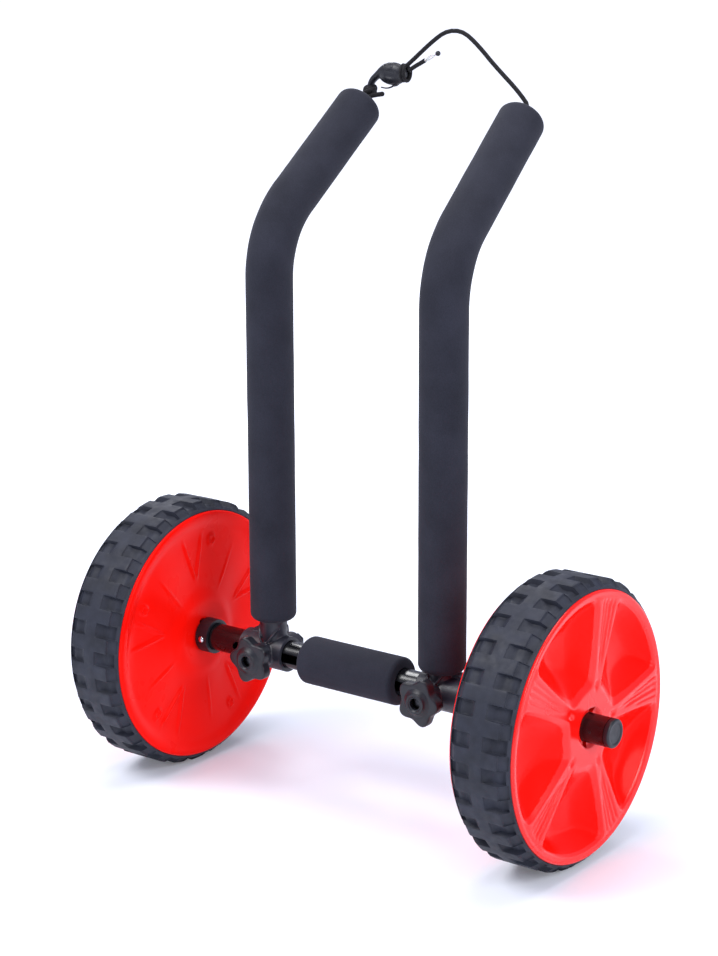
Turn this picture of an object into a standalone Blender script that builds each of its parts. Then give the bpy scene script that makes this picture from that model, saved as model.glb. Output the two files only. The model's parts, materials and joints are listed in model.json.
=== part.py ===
# Two-wheeled hand cart for a surfboard: axle, two wheels, two padded arms, bungee cord.
# Metres, +Z up, floor at Z = 0. The axle lies along X, the arms bend towards +Y
# and the clamp knobs face -Y. The origin is the middle of the footprint on the floor.

from math import cos, pi, radians, sin, sqrt, tan

import bmesh
import bpy
from mathutils import Matrix, Vector

# Gaps between pieces
GAP = 0.0003
RUNNING_GAP = 0.0005
HOLE_GAP = 0.0004
WELD = 0.00001

# Sides of round pieces, from large to thin, and angle above which an edge stays sharp
ROUND_SIDES = 24
BORE_SIDES = 16
SMALL_SIDES = 14
PIN_SIDES = 12
THIN_SIDES = 8
BALL_RINGS = 8
SMALL_BALL_RINGS = 6
ROUNDING_STEPS = 3
SHARP_ANGLE = radians(35)

# Wheels, mirrored left and right
TYRE_R = 0.127
TYRE_STEPS = 60
WHEEL_WIDTH = 0.0634
WHEEL_X = 0.2131
TYRE_THICK = 0.0089
KEY_HALF_WIDTH = 0.0180
KEY_DEPTH = 0.0060
TYRE_INSET = 0.0023
TREAD_BAND = 0.0060
TREAD_MARGIN = 0.0089
POCKET_MARGIN = 0.0028
NOTCH_MARGIN = 0.0010
SHOULDER_DROP = 0.0078
POCKET_DEPTH = 0.0036
POCKET_DRAFT = 0.0009
NOTCH_DEPTH = 0.0014

# Moulded rim
RIM_LIP = 0.0040
RIM_LIP_DROP = 0.0012
INNER_DISH = 0.0022
DISH_EDGE = 0.0160
INNER_HUB_R = 0.030
SPOKES = 5
SPOKE_ANGLE = radians(4)
SPOKE_HALF_TIP = 0.0045
SPOKE_HALF_RIM = 0.0125
SCOOP_TIP_R = 0.033
SCOOP_MARGIN = 0.0051
SCOOP_DEPTH = 0.015
SCOOP_TIP_ROUND = 0.0015
SCOOP_TIP_SHARE = 0.6
SCOOP_RIM_SHARES = (0.88, 0.45)
SCOOP_SHARES = (0.12, 0.40, 0.70, 0.93)
SCOOP_LEVELS = ((-0.2, 1.05), (0.35, 0.93), (0.8, 0.77), (1.0, 0.50))
RIM_WALL = 0.0035
HUB_WALL = 0.0078
HUB_NOTCH_R = 0.0034
HUB_NOTCH_SETBACK = 0.0014
HUB_NOTCH_ANGLES = (radians(70), radians(250))
VENT_R = 0.003
VENT_AT_R = 0.040
VENT_ANGLE = radians(200)

# Axle
TUBE_R = 0.0127
AXLE_WALL = 0.0020
AXLE_STUB = 0.0144
SLOT_INNER_X = 0.0450
SLOT_OUTER_X = 0.1375
SLOT_HALF_HEIGHT = 0.0044
CAP_FLANGE = 0.0050
CAP_SPIGOT = 0.0080
CAP_ROUNDING = 0.0012

# Padding on the axle
AXLE_FOAM_LEFT = -0.0560
AXLE_FOAM_RIGHT = 0.0500
AXLE_FOAM_R = 0.0220
FOAM_ROUNDING = 0.0070

# Stop collars and spring buttons
COLLAR_R = 0.01625
COLLAR_WIDTH = 0.0130
COLLAR_GAP = 0.0014
BUTTON_R = 0.0032
INNER_BUTTON_TIP = 0.0178
OUTER_BUTTON_TIP = 0.0155
OUTER_BUTTON_GAP = 0.0050
BUTTON_BASE = 0.0083
BUTTON_DOME = 0.0022
DOME_SHARES = ((0.0, 0.0), (0.6, 0.15), (0.92, 0.5), (1.0, 1.0))
BUTTON_FOOT_R = 0.0042
BUTTON_FOOT = 0.0012
SPRING_WIRE_R = 0.0007
SPRING_LENGTH = 0.0280
SPRING_BOW = 0.0008
SPRING_BOW_SHARE = 0.3
SPRING_LEG = 0.0070
SPRING_TOE = 0.0088
SPRING_BEND_R = 0.0022

# Arms: side sign, place on the axle, corner height, length past the corner, turn, foam foot
ARM_X = {"left": -0.0980, "right": 0.0920}
ARM_CORNER = {"left": 0.3910, "right": 0.3820}
ARM_REACH = {"left": 0.1680, "right": 0.1770}
ARM_TURN = {"left": radians(-1.3), "right": radians(5.7)}
FOAM_FOOT = {"left": 0.0313, "right": 0.0195}
OUTWARD = {"left": -1, "right": 1}
ARM_BEND = radians(52.5)
ARM_BEND_R = 0.0870
BEND_PIECES = 7
ARM_WALL = 0.0015
ARM_FOAM_R = 0.0213
FOAM_BORE_R = 0.0131
ARM_TUBE_RECESS = 0.0045
PLUG_FLANGE = 0.0030
PLUG_SPIGOT = 0.0140

# Clamp that carries an arm on the axle
CLAMP_R = 0.0165
CLAMP_IN = 0.0190
CLAMP_OUT = 0.0300
CLAMP_ROUNDING = 0.0012
NECK_TOP = 0.0310
SPIGOT_LENGTH = 0.0400
BOSS_R = 0.0110
BOSS_FRONT = 0.0259
BOSS_BACK = 0.0288
GUSSET_HALF = 0.0030
GUSSET_SETBACK = 0.0015
GUSSET_FOOT_Z = 0.0150
GUSSET_TOP_Z = 0.0240
SMALL_GUSSET_TOP_Z = 0.0185
PIN_R = 0.0020
PIN_Z = 0.0500

# Clamp bolt, washers and star knob
BOLT_R = 0.0040
BOLT_TIP = 0.0370
HEAD_R = 0.0075
HEAD_THICK = 0.0053
WASHER_R = 0.0090
WASHER_THICK = 0.0015
KNOB_LOBES = 5
KNOB_ANGLE = {"left": radians(36), "right": radians(71)}
KNOB_R = 0.0222
KNOB_VALLEY_R = 0.0172
KNOB_THICK = 0.0140
KNOB_HUB_R = 0.0092
KNOB_HUB_FOOT_R = 0.0135
KNOB_HUB_RISE = 0.0036
KNOB_HUB_EDGE = 0.0008
KNOB_POINTS = 40
KNOB_ROUNDING = 0.0016
KNOB_EYE_R = 0.0046
INSERT_R = 0.0068
INSERT_LENGTH = 0.0095

# Bungee cord. Places are from the middle of the axle.
CORD_R = 0.0020
CORD_SPACING = 0.0090
CORD_LEAD = 0.0070
STOP_KNOT_R = 0.0046
LOOP_KNOT_R = 0.0046
LOOP_KNOT_OUT = 0.0090
CORD_Y = 0.1460
HALVES_MEET = (0.0000, 0.1470, 0.5609)
RIGHT_ROUTE = [
    (0.0752, 0.1500, 0.4985),
    (0.0698, 0.1512, 0.5046),
    (0.0600, 0.1515, 0.5140),
    (0.0485, 0.1512, 0.5240),
    (0.0372, 0.1502, 0.5345),
    (0.0262, 0.1492, 0.5455),
    (0.0150, 0.1482, 0.5552),
    (0.0076, 0.1475, 0.5595),
]
LEFT_ROUTE = [
    (-0.0075, 0.1466, 0.5600),
    (-0.0150, 0.1463, 0.5570),
    (-0.0265, 0.1460, 0.5490),
    (-0.0380, 0.1460, 0.5399),
    (-0.0450, 0.1460, 0.5342),
]
CORD_END_AT_HOOK = (-0.0528, 0.1460, 0.5281)
TAIL_START = (-0.0503, 0.1460, 0.5238)
TAIL_ROUTE = [(-0.0430, 0.1458, 0.5280), (-0.0370, 0.1455, 0.5310)]
TAIL_CUT = (-0.0323, 0.1453, 0.5335)
BEAD_AT = (-0.0178, 0.1450, 0.5403)
BEAD_R = 0.0024
CORE_R = 0.0008

# Snap hook on the cord, in the plane Y = CORD_Y
HOOK_BODY_AT = (-0.0625, 0.1460, 0.5203)
HOOK_BODY_SIZE = (0.0128, 0.0056, 0.0103)
HOOK_ARM = [
    (-0.0660, 0.5235, 0.0042),
    (-0.0767, 0.5222, 0.0042),
    (-0.0840, 0.5184, 0.0040),
    (-0.0897, 0.5144, 0.0037),
    (-0.0932, 0.5103, 0.0035),
    (-0.0945, 0.5060, 0.0033),
    (-0.0941, 0.5040, 0.0030),
    (-0.0926, 0.5026, 0.0024),
]
HOOK_GATE = [
    (-0.0655, 0.5090),
    (-0.0700, 0.5078),
    (-0.0755, 0.5066),
    (-0.0819, 0.5068),
]
GATE_R = 0.0008

# Cord loop on the left arm, round the hook
LOOP_ROUTE = [
    (-0.0972, 0.1404, 0.4988),
    (-0.0984, 0.1398, 0.5014),
    (-0.1010, 0.1440, 0.5045),
    (-0.0990, 0.1518, 0.5073),
    (-0.0942, 0.1537, 0.5085),
    (-0.0896, 0.1503, 0.5073),
    (-0.0887, 0.1450, 0.5048),
    (-0.0910, 0.1396, 0.5016),
    (-0.0926, 0.1402, 0.4990),
]
LOOP_TAIL = [
    (-0.0940, 0.1405, 0.4980),
    (-0.0885, 0.1412, 0.4995),
    (-0.0835, 0.1425, 0.5005),
    (-0.0792, 0.1437, 0.5012),
]

# Finishes: colour as sRGB hex, roughness, metallic
FINISHES = {
    "tyre_rubber": ("#2b2f36", 0.75, 0.0),
    "red_plastic": ("#f01a10", 0.22, 0.0),
    "black_plastic": ("#1b1b1d", 0.38, 0.0),
    "black_tube": ("#17171a", 0.30, 0.6),
    "black_foam": ("#2e2f35", 0.92, 0.0),
    "zinc_steel": ("#c9ccd0", 0.28, 1.0),
    "black_steel": ("#222224", 0.35, 0.9),
    "brass": ("#b8944a", 0.35, 1.0),
    "black_cord": ("#1d1b1e", 0.85, 0.0),
    "clear_core": ("#dcdcd8", 0.40, 0.0),
}


def tip_reach(side):
    """How far the rounded foam end of one arm stands behind the axle."""
    lean = sin(ARM_BEND) * cos(ARM_TURN[side])
    centre = (ARM_REACH[side] - FOAM_ROUNDING) * lean
    return centre + (ARM_FOAM_R - FOAM_ROUNDING) * sqrt(1 - lean * lean) + FOAM_ROUNDING


# A flat of the many-sided tyre lies on the floor, and the footprint is centred on Y = 0.
AXLE_Z = TYRE_R * cos(pi / TYRE_STEPS)
AXLE_Y = (TYRE_R * cos(pi / TYRE_STEPS) - max(tip_reach(side) for side in ARM_X)) / 2
CLAMP_BORE_R = TUBE_R + GAP
HALF_WIDTH = WHEEL_WIDTH / 2
RIM_R = TYRE_R - TYRE_THICK
TYRE_HALF = HALF_WIDTH - TYRE_INSET
TREAD_EDGE = TYRE_HALF - TREAD_MARGIN
SCOOP_RIM_R = RIM_R - SCOOP_MARGIN
COLLAR_END = WHEEL_X - HALF_WIDTH - COLLAR_GAP
INNER_BUTTON_X = COLLAR_END - COLLAR_WIDTH / 2
OUTER_BUTTON_X = WHEEL_X + HALF_WIDTH + OUTER_BUTTON_GAP
AXLE_HALF = OUTER_BUTTON_X + AXLE_STUB

for old in list(bpy.data.objects):
    bpy.data.objects.remove(old, do_unlink=True)
PARTS = bpy.data.collections.new("surfboard_cart")
CUTTERS = bpy.data.collections.new("cutters")
bpy.context.scene.collection.children.link(PARTS)
bpy.context.scene.collection.children.link(CUTTERS)


# Objects and finishes


def empty(name, parent, location, turn=0.0):
    obj = bpy.data.objects.new(name, None)
    obj.empty_display_size = 0.02
    PARTS.objects.link(obj)
    obj.parent = parent
    obj.location = location
    obj.rotation_euler.z = turn
    return obj


def linear(hex_colour):
    """Linear RGBA from an sRGB hex colour."""
    values = [int(hex_colour[i : i + 2], 16) / 255 for i in (1, 3, 5)]
    return [v / 12.92 if v <= 0.04045 else ((v + 0.055) / 1.055) ** 2.4 for v in values] + [1]


def paint(obj, finish):
    colour, roughness, metallic = FINISHES[finish]
    material = bpy.data.materials.new(f"{obj.name}_{finish}")
    material.use_nodes = True
    shader = material.node_tree.nodes["Principled BSDF"]
    shader.inputs["Base Color"].default_value = linear(colour)
    shader.inputs["Roughness"].default_value = roughness
    shader.inputs["Metallic"].default_value = metallic
    obj.data.materials.append(material)


def add(name, data, parent, finish):
    """A part where finish is a name, a cutter where it is None."""
    obj = bpy.data.objects.new(name, data)
    (PARTS if finish else CUTTERS).objects.link(obj)
    obj.parent = parent
    if finish:
        paint(obj, finish)
    else:
        obj.hide_render = True
        obj.display_type = "WIRE"
    return obj


def solid(name, parent, finish, bm):
    """A closed solid, shaded smooth with its corners kept."""
    mesh = bpy.data.meshes.new(name)
    bmesh.ops.recalc_face_normals(bm, faces=bm.faces)
    bm.to_mesh(mesh)
    bm.free()
    mesh.shade_smooth()
    mesh.set_sharp_from_angle(angle=SHARP_ANGLE)
    return add(name, mesh, parent, finish)


def boolean(obj, other, operation):
    step = obj.modifiers.new(other.name, "BOOLEAN")
    step.operation = operation
    step.solver = "EXACT"
    step.object = other


# Shapes


def add_rod(bm, start, end, radius, sides=ROUND_SIDES):
    start, end = Vector(start), Vector(end)
    run = end - start
    place = Matrix.Translation((start + end) / 2) @ run.to_track_quat("Z", "Y").to_matrix().to_4x4()
    bmesh.ops.create_cone(
        bm, cap_ends=True, segments=sides, radius1=radius, radius2=radius,
        depth=run.length, matrix=place,
    )


def rod(name, parent, finish, start, end, radius, sides=ROUND_SIDES):
    bm = bmesh.new()
    add_rod(bm, start, end, radius, sides)
    return solid(name, parent, finish, bm)


def ball(name, parent, finish, centre, sizes, rings=BALL_RINGS):
    bm = bmesh.new()
    place = Matrix.Translation(centre) @ Matrix.Diagonal((*sizes, 1))
    bmesh.ops.create_uvsphere(bm, u_segments=2 * rings, v_segments=rings, radius=1, matrix=place)
    return solid(name, parent, finish, bm)


def along(direction):
    """Rotation that brings +Z onto a direction."""
    return Vector(direction).to_track_quat("Z", "Y").to_matrix().to_4x4()


def turned(name, parent, finish, profile, direction=(0, 0, 1), at=(0, 0, 0), steps=ROUND_SIDES,
           phase=0.0, ring=False):
    """A profile of (radius, height) pairs turned about a line; a ring's profile is closed."""
    count = len(profile)
    edges = [(i, i + 1) for i in range(count - 1)] + ([(count - 1, 0)] if ring else [])
    mesh = bpy.data.meshes.new(name)
    mesh.from_pydata([(radius, 0, height) for radius, height in profile], edges, [])
    obj = add(name, mesh, parent, finish)
    obj.matrix_local = Matrix.Translation(at) @ along(direction) @ Matrix.Rotation(phase, 4, "Z")
    screw = obj.modifiers.new("turn", "SCREW")
    screw.angle = 2 * pi
    screw.steps = screw.render_steps = steps
    screw.use_merge_vertices = True
    screw.merge_threshold = WELD
    return obj


def ring_profile(outer, inner, half):
    """Closed section of a plain ring."""
    return [(outer, half), (outer, -half), (inner, -half), (inner, half)]


def wire(name, parent, finish, points, radius, resolution=2, radii=None, caps=True):
    """A round bar along points, with radii as shares of its radius."""
    curve = bpy.data.curves.new(name, "CURVE")
    curve.dimensions = "3D"
    curve.bevel_depth = radius
    curve.bevel_resolution = resolution
    curve.use_fill_caps = caps
    spline = curve.splines.new("POLY")
    spline.points.add(len(points) - 1)
    for i, (knot, place) in enumerate(zip(spline.points, points)):
        knot.co = (*place, 1)
        knot.radius = radii[i] if radii else 1
    return add(name, curve, parent, finish)


def as_mesh(curve):
    """The same object with a welded mesh in the curve's place."""
    bpy.context.view_layer.update()
    name, parent, place = curve.name, curve.parent, curve.matrix_world.copy()
    is_part = curve.name in PARTS.objects
    shape = curve.evaluated_get(bpy.context.evaluated_depsgraph_get())
    mesh = bpy.data.meshes.new_from_object(shape)
    bm = bmesh.new()
    bm.from_mesh(mesh)
    bmesh.ops.remove_doubles(bm, verts=bm.verts, dist=WELD)
    bmesh.ops.recalc_face_normals(bm, faces=bm.faces)
    bm.to_mesh(mesh)
    bm.free()
    mesh.shade_smooth()
    mesh.set_sharp_from_angle(angle=SHARP_ANGLE)
    bpy.data.objects.remove(curve, do_unlink=True)
    obj = bpy.data.objects.new(name, mesh)
    (PARTS if is_part else CUTTERS).objects.link(obj)
    obj.parent = parent
    obj.matrix_world = place
    if not is_part:
        obj.hide_render = True
        obj.display_type = "WIRE"
    return obj


def smooth_run(knots, spacing):
    """Evenly spaced points on one smooth curve through all the knots."""
    knots = [Vector(k) for k in knots]
    ends = [2 * knots[0] - knots[1]] + knots + [2 * knots[-1] - knots[-2]]
    fine = []
    parts = 12
    for a, b, c, d in zip(ends, ends[1:], ends[2:], ends[3:]):
        for i in range(parts):
            t = i / parts
            fine.append(
                (2 * b + (c - a) * t + (2 * a - 5 * b + 4 * c - d) * t * t
                 + (3 * b - a - 3 * c + d) * t ** 3) / 2
            )
    fine.append(knots[-1])
    total = sum((q - p).length for p, q in zip(fine, fine[1:]))
    count = max(2, round(total / spacing))
    points, walked, target = [fine[0]], 0.0, total / count
    for p, q in zip(fine, fine[1:]):
        step = (q - p).length
        while step and walked + step >= target and len(points) < count:
            points.append(p.lerp(q, (target - walked) / step))
            target += total / count
        walked += step
    return points + [fine[-1]]


# Wheels


def tyre(name, parent):
    """Rubber band keyed into the rim, with tread pockets and notches in its shoulders."""
    seat = RIM_R + GAP
    pocket_end, notch_end = TYRE_HALF - POCKET_MARGIN, TYRE_HALF - NOTCH_MARGIN
    outside = [
        (TYRE_R - SHOULDER_DROP * (height - TREAD_EDGE) / TREAD_MARGIN, height)
        for height in (TYRE_HALF, notch_end, pocket_end, TREAD_EDGE)
    ]
    outside.append((TYRE_R, TREAD_BAND))
    mirrored = [(radius, -height) for radius, height in reversed(outside)]
    key = [
        (seat, -TYRE_HALF), (seat, GAP - KEY_HALF_WIDTH), (seat - KEY_DEPTH, 0),
        (seat, KEY_HALF_WIDTH - GAP), (seat, TYRE_HALF),
    ]
    blank = turned(name, parent, "tyre_rubber", outside + mirrored + key, (1, 0, 0),
                   steps=TYRE_STEPS, phase=pi / TYRE_STEPS, ring=True)
    obj = as_mesh(blank)
    bm = bmesh.new()
    bm.from_mesh(obj.data)
    segment = 2 * pi / TYRE_STEPS
    start = along((1, 0, 0)).inverted() @ Vector((0, 0, -1))
    down = start.to_2d()

    def picked(low, high, parity):
        """Outer faces between two distances from the middle, on every second segment."""
        found = []
        for face in bm.faces:
            centre = face.calc_center_median()
            if not low < abs(centre.z) < high or centre.to_2d().length < TYRE_R - SHOULDER_DROP:
                continue
            count = round(down.angle_signed(centre.to_2d()) / segment)
            if count % 2 == parity:
                found.append(face)
        return found

    for faces, depth in (
        (picked(TREAD_BAND, pocket_end, 1), POCKET_DEPTH), (picked(TREAD_EDGE, notch_end, 0), NOTCH_DEPTH),
    ):
        bmesh.ops.inset_region(bm, faces=faces, thickness=POCKET_DRAFT, use_even_offset=True)
        for vert in {vert for face in faces for vert in face.verts}:
            radius = vert.co.to_2d().length
            share = max(radius - depth, TYRE_R - SHOULDER_DROP) / radius
            vert.co.x, vert.co.y = vert.co.x * share, vert.co.y * share
    bm.to_mesh(obj.data)
    bm.free()
    return obj


def scoop_outline():
    """Half outline of one hollow as (radius, angle from its middle), from its tip to the rim."""
    half_pitch = pi / SPOKES
    outline = []
    for share in SCOOP_SHARES:
        radius = SCOOP_TIP_R + share * (SCOOP_RIM_R - SCOOP_TIP_R)
        half = SPOKE_HALF_TIP + share * (SPOKE_HALF_RIM - SPOKE_HALF_TIP)
        outline.append((radius, half_pitch - half / radius))
    corner = outline[-1][1]
    tip = [(SCOOP_TIP_R, 0.0), (SCOOP_TIP_R + SCOOP_TIP_ROUND, SCOOP_TIP_SHARE * outline[0][1])]
    return tip + outline + [(SCOOP_RIM_R, share * corner) for share in SCOOP_RIM_SHARES]


def scoop_cutter(name, parent):
    """Hollows between the spokes, each a rounded wedge that points to the hub."""
    bm = bmesh.new()
    half = scoop_outline()
    outline = half + [(SCOOP_RIM_R, 0.0)] + [(radius, -angle) for radius, angle in half[:0:-1]]
    for spoke in range(SPOKES):
        middle = SPOKE_ANGLE + (2 * spoke + 1) * pi / SPOKES
        flat = [Vector((radius * cos(middle + angle), radius * sin(middle + angle)))
                for radius, angle in outline]
        centre = sum(flat, Vector((0, 0))) / len(flat)
        rings = []
        for depth, scale in SCOOP_LEVELS:
            places = [centre + (p - centre) * scale for p in flat]
            u = HALF_WIDTH - depth * SCOOP_DEPTH
            rings.append([bm.verts.new((u, p.x, p.y)) for p in places])
        for low, high in zip(rings, rings[1:]):
            for i in range(len(flat)):
                j = (i + 1) % len(flat)
                bm.faces.new((low[i], low[j], high[j], high[i]))
        bm.faces.new(rings[0])
        bm.faces.new(rings[-1])
    return solid(name, parent, None, bm)


def rim(name, parent):
    """Blow-moulded wheel body: outer face with five scoops, dished inner face, hollow inside."""
    bore = TUBE_R + RUNNING_GAP
    key_floor = RIM_R - KEY_DEPTH
    dish = HALF_WIDTH - INNER_DISH
    lip = RIM_LIP_DROP
    profile = [
        (bore, HALF_WIDTH), (RIM_R - RIM_LIP, HALF_WIDTH), (RIM_R, HALF_WIDTH - lip),
        (RIM_R, KEY_HALF_WIDTH), (key_floor, 0), (RIM_R, -KEY_HALF_WIDTH),
        (RIM_R, -HALF_WIDTH), (RIM_R - DISH_EDGE, -dish), (INNER_HUB_R + DISH_EDGE, -dish),
        (INNER_HUB_R, -HALF_WIDTH), (bore, -HALF_WIDTH),
    ]
    obj = turned(name, parent, "red_plastic", profile, (1, 0, 0),
                 steps=TYRE_STEPS, phase=pi / TYRE_STEPS, ring=True)
    boolean(obj, scoop_cutter(f"{name}_scoops", parent), "DIFFERENCE")
    top = HALF_WIDTH - SCOOP_DEPTH - RIM_WALL
    hollow = [
        (key_floor - RIM_WALL, top), (key_floor - RIM_WALL, RIM_WALL - dish),
        (bore + HUB_WALL, RIM_WALL - dish), (bore + HUB_WALL, top),
    ]
    cavity = turned(f"{name}_hollow", parent, None, hollow, (1, 0, 0), ring=True)
    boolean(obj, cavity, "DIFFERENCE")
    bm = bmesh.new()
    y, z = VENT_AT_R * cos(VENT_ANGLE), VENT_AT_R * sin(VENT_ANGLE)
    add_rod(bm, (-WHEEL_WIDTH, y, z), (0, y, z), VENT_R, THIN_SIDES)
    for angle in HUB_NOTCH_ANGLES:
        out = TUBE_R + HUB_NOTCH_SETBACK
        y, z = out * cos(angle), out * sin(angle)
        add_rod(bm, (-WHEEL_WIDTH, y, z), (WHEEL_WIDTH, y, z), HUB_NOTCH_R, PIN_SIDES)
    boolean(obj, solid(f"{name}_holes", parent, None, bm), "DIFFERENCE")
    return obj


# Axle and what is fixed to it


def axle(cart):
    tube = turned("axle_tube", cart, "black_tube",
                  ring_profile(TUBE_R, TUBE_R - AXLE_WALL, AXLE_HALF), (1, 0, 0), ring=True)
    reach = 2 * TUBE_R
    bm = bmesh.new()
    for sign in (-1, 1):
        ends = (sign * (SLOT_INNER_X + SLOT_HALF_HEIGHT), sign * (SLOT_OUTER_X - SLOT_HALF_HEIGHT))
        middle = (ends[0] + ends[1]) / 2
        long_way = abs(ends[1] - ends[0])
        place = Matrix.Translation((middle, 0, 0))
        size = Matrix.Diagonal((long_way, 2 * reach, 2 * SLOT_HALF_HEIGHT, 1))
        bmesh.ops.create_cube(bm, size=1, matrix=place @ size)
        button = BUTTON_R + HOLE_GAP
        inner, outer = sign * INNER_BUTTON_X, sign * OUTER_BUTTON_X
        add_rod(bm, (inner, -reach, 0), (inner, 0, 0), button, BORE_SIDES)
        add_rod(bm, (outer, 0, 0), (outer, reach, 0), button, BORE_SIDES)
    boolean(tube, solid("axle_cuts", cart, None, bm), "DIFFERENCE")
    bm = bmesh.new()
    for sign in (-1, 1):
        for end in (SLOT_INNER_X + SLOT_HALF_HEIGHT, SLOT_OUTER_X - SLOT_HALF_HEIGHT):
            start, stop = (sign * end, -reach, 0), (sign * end, reach, 0)
            add_rod(bm, start, stop, SLOT_HALF_HEIGHT, PIN_SIDES)
    boolean(tube, solid("slot_ends", cart, None, bm), "DIFFERENCE")


def axle_padding(cart):
    length = AXLE_FOAM_RIGHT - AXLE_FOAM_LEFT
    rounding = []
    for i in range(ROUNDING_STEPS + 1):
        angle = i * pi / 2 / ROUNDING_STEPS
        radius = AXLE_FOAM_R - FOAM_ROUNDING * (1 - sin(angle))
        rounding.append((radius, length / 2 - FOAM_ROUNDING * (1 - cos(angle))))
    profile = rounding + [(radius, -height) for radius, height in reversed(rounding)]
    profile += [(CLAMP_BORE_R, -length / 2), (CLAMP_BORE_R, length / 2)]
    middle = (AXLE_FOAM_LEFT + AXLE_FOAM_RIGHT) / 2
    turned("axle_foam", cart, "black_foam", profile, (1, 0, 0), (middle, 0, 0), ring=True)


def end_cap(side, cart):
    """Plug in the end of the axle tube, with a flange as wide as the tube."""
    out = OUTWARD[side]
    start = AXLE_HALF + GAP
    end = start + CAP_FLANGE
    spigot = TUBE_R - AXLE_WALL - GAP
    profile = [
        (0, end), (TUBE_R - CAP_ROUNDING, end), (TUBE_R, end - CAP_ROUNDING), (TUBE_R, start),
        (spigot, start), (spigot, start - CAP_SPIGOT), (0, start - CAP_SPIGOT),
    ]
    turned(f"{side}_end_cap", cart, "black_plastic", profile, (out, 0, 0))


def stop_collar(side, cart):
    out = OUTWARD[side]
    ring = turned(f"{side}_stop_collar", cart, "black_plastic",
                  ring_profile(COLLAR_R, CLAMP_BORE_R, COLLAR_WIDTH / 2),
                  (1, 0, 0), (out * INNER_BUTTON_X, 0, 0), ring=True)
    hole = rod(f"{side}_collar_hole", cart, None, (out * INNER_BUTTON_X, -2 * COLLAR_R, 0),
               (out * INNER_BUTTON_X, 0, 0), BUTTON_R + HOLE_GAP, BORE_SIDES)
    boolean(ring, hole, "DIFFERENCE")


def spring_button(side, name, cart, x, facing, tip):
    """Round steel button through the tube wall, on a bent wire spring inside the tube."""
    out = OUTWARD[side]
    axis = empty(f"{side}_{name}_button_axis", cart, (out * x, 0, 0))
    foot = BUTTON_BASE + BUTTON_FOOT
    profile = [(across * BUTTON_R, tip - drop * BUTTON_DOME) for across, drop in DOME_SHARES]
    profile += [(BUTTON_R, foot), (BUTTON_FOOT_R, foot), (BUTTON_FOOT_R, BUTTON_BASE), (0, BUTTON_BASE)]
    turned(f"{side}_{name}_button", axis, "zinc_steel", profile, (0, facing, 0),
           steps=SMALL_SIDES)
    near = BUTTON_BASE - GAP - SPRING_WIRE_R
    bowed = -SPRING_LENGTH * SPRING_BOW_SHARE
    flat = [(0.0, near), (bowed, near - SPRING_BOW)]
    for angle in (radians(degrees) for degrees in (60, 30, 0, -30, -60)):
        flat.append((-SPRING_LENGTH - SPRING_BEND_R * cos(angle), SPRING_BEND_R * sin(angle)))
    flat += [(bowed, -SPRING_LEG), (0.0, -SPRING_TOE)]
    points = [(out * (x + u), facing * v, 0) for u, v in flat]
    wire(f"{side}_{name}_spring", cart, "zinc_steel", points, SPRING_WIRE_R, 1)


# Arms


def arm_line(side, foot, recess):
    """Centre line of an arm from the height foot to the distance recess before its tip."""
    tangent = ARM_BEND_R * tan(ARM_BEND / 2)
    corner = ARM_CORNER[side]
    points = [Vector((0, 0, foot))]
    for i in range(BEND_PIECES + 1):
        angle = ARM_BEND * i / BEND_PIECES
        points.append(Vector((0, ARM_BEND_R * (1 - cos(angle)),
                              corner - tangent + ARM_BEND_R * sin(angle))))
    lean = Vector((0, sin(ARM_BEND), cos(ARM_BEND)))
    points.append(Vector((0, 0, corner)) + lean * (ARM_REACH[side] - recess))
    return [Matrix.Rotation(ARM_TURN[side], 3, "Z") @ p for p in points]


def arm_lean(side):
    """Direction of the arm's tip."""
    return Matrix.Rotation(ARM_TURN[side], 3, "Z") @ Vector((0, sin(ARM_BEND), cos(ARM_BEND)))


def arm_tip(side, recess=0.0):
    """Point on the arm's centre line, that far before the end of its foam."""
    corner = Vector((0, 0, ARM_CORNER[side]))
    return corner + arm_lean(side) * (ARM_REACH[side] - recess)


def arm_tube(side, arm):
    line = arm_line(side, NECK_TOP + GAP, ARM_TUBE_RECESS)
    tube = as_mesh(wire(f"{side}_arm_tube", arm, "black_tube", line, TUBE_R, 5, caps=False))
    wall = tube.modifiers.new("wall", "SOLIDIFY")
    wall.thickness = ARM_WALL
    wall.offset = -1
    hole = rod(f"{side}_tube_pin_hole", arm, None, (0, -2 * TUBE_R, PIN_Z), (0, 2 * TUBE_R, PIN_Z),
               PIN_R + GAP, PIN_SIDES)
    boolean(tube, hole, "DIFFERENCE")


def arm_foam(side, arm):
    line = arm_line(side, FOAM_FOOT[side], 0.0)
    first, last = line[0], line[-1]
    up, lean = Vector((0, 0, 1)), arm_lean(side)
    angles = [i * pi / 2 / ROUNDING_STEPS for i in range(ROUNDING_STEPS + 1)]
    rounds = [(FOAM_ROUNDING * (1 - cos(a)), 1 - FOAM_ROUNDING * (1 - sin(a)) / ARM_FOAM_R)
              for a in angles]
    points = [first + up * back for back, _ in rounds] + line[1:-1]
    points += [last - lean * back for back, _ in reversed(rounds)]
    shares = [share for _, share in rounds]
    radii = shares + [1] * (len(line) - 2) + shares[::-1]
    foam = as_mesh(wire(f"{side}_arm_foam", arm, "black_foam", points, ARM_FOAM_R, 7, radii))
    long_line = arm_line(side, FOAM_FOOT[side] - FOAM_ROUNDING, -FOAM_ROUNDING)
    bore = as_mesh(wire(f"{side}_foam_bore", arm, None, long_line, FOAM_BORE_R, 5))
    boolean(foam, bore, "DIFFERENCE")
    if FOAM_FOOT[side] < GUSSET_TOP_Z:
        boolean(foam, gusset(f"{side}_foam_notch", side, arm, GAP), "DIFFERENCE")


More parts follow.
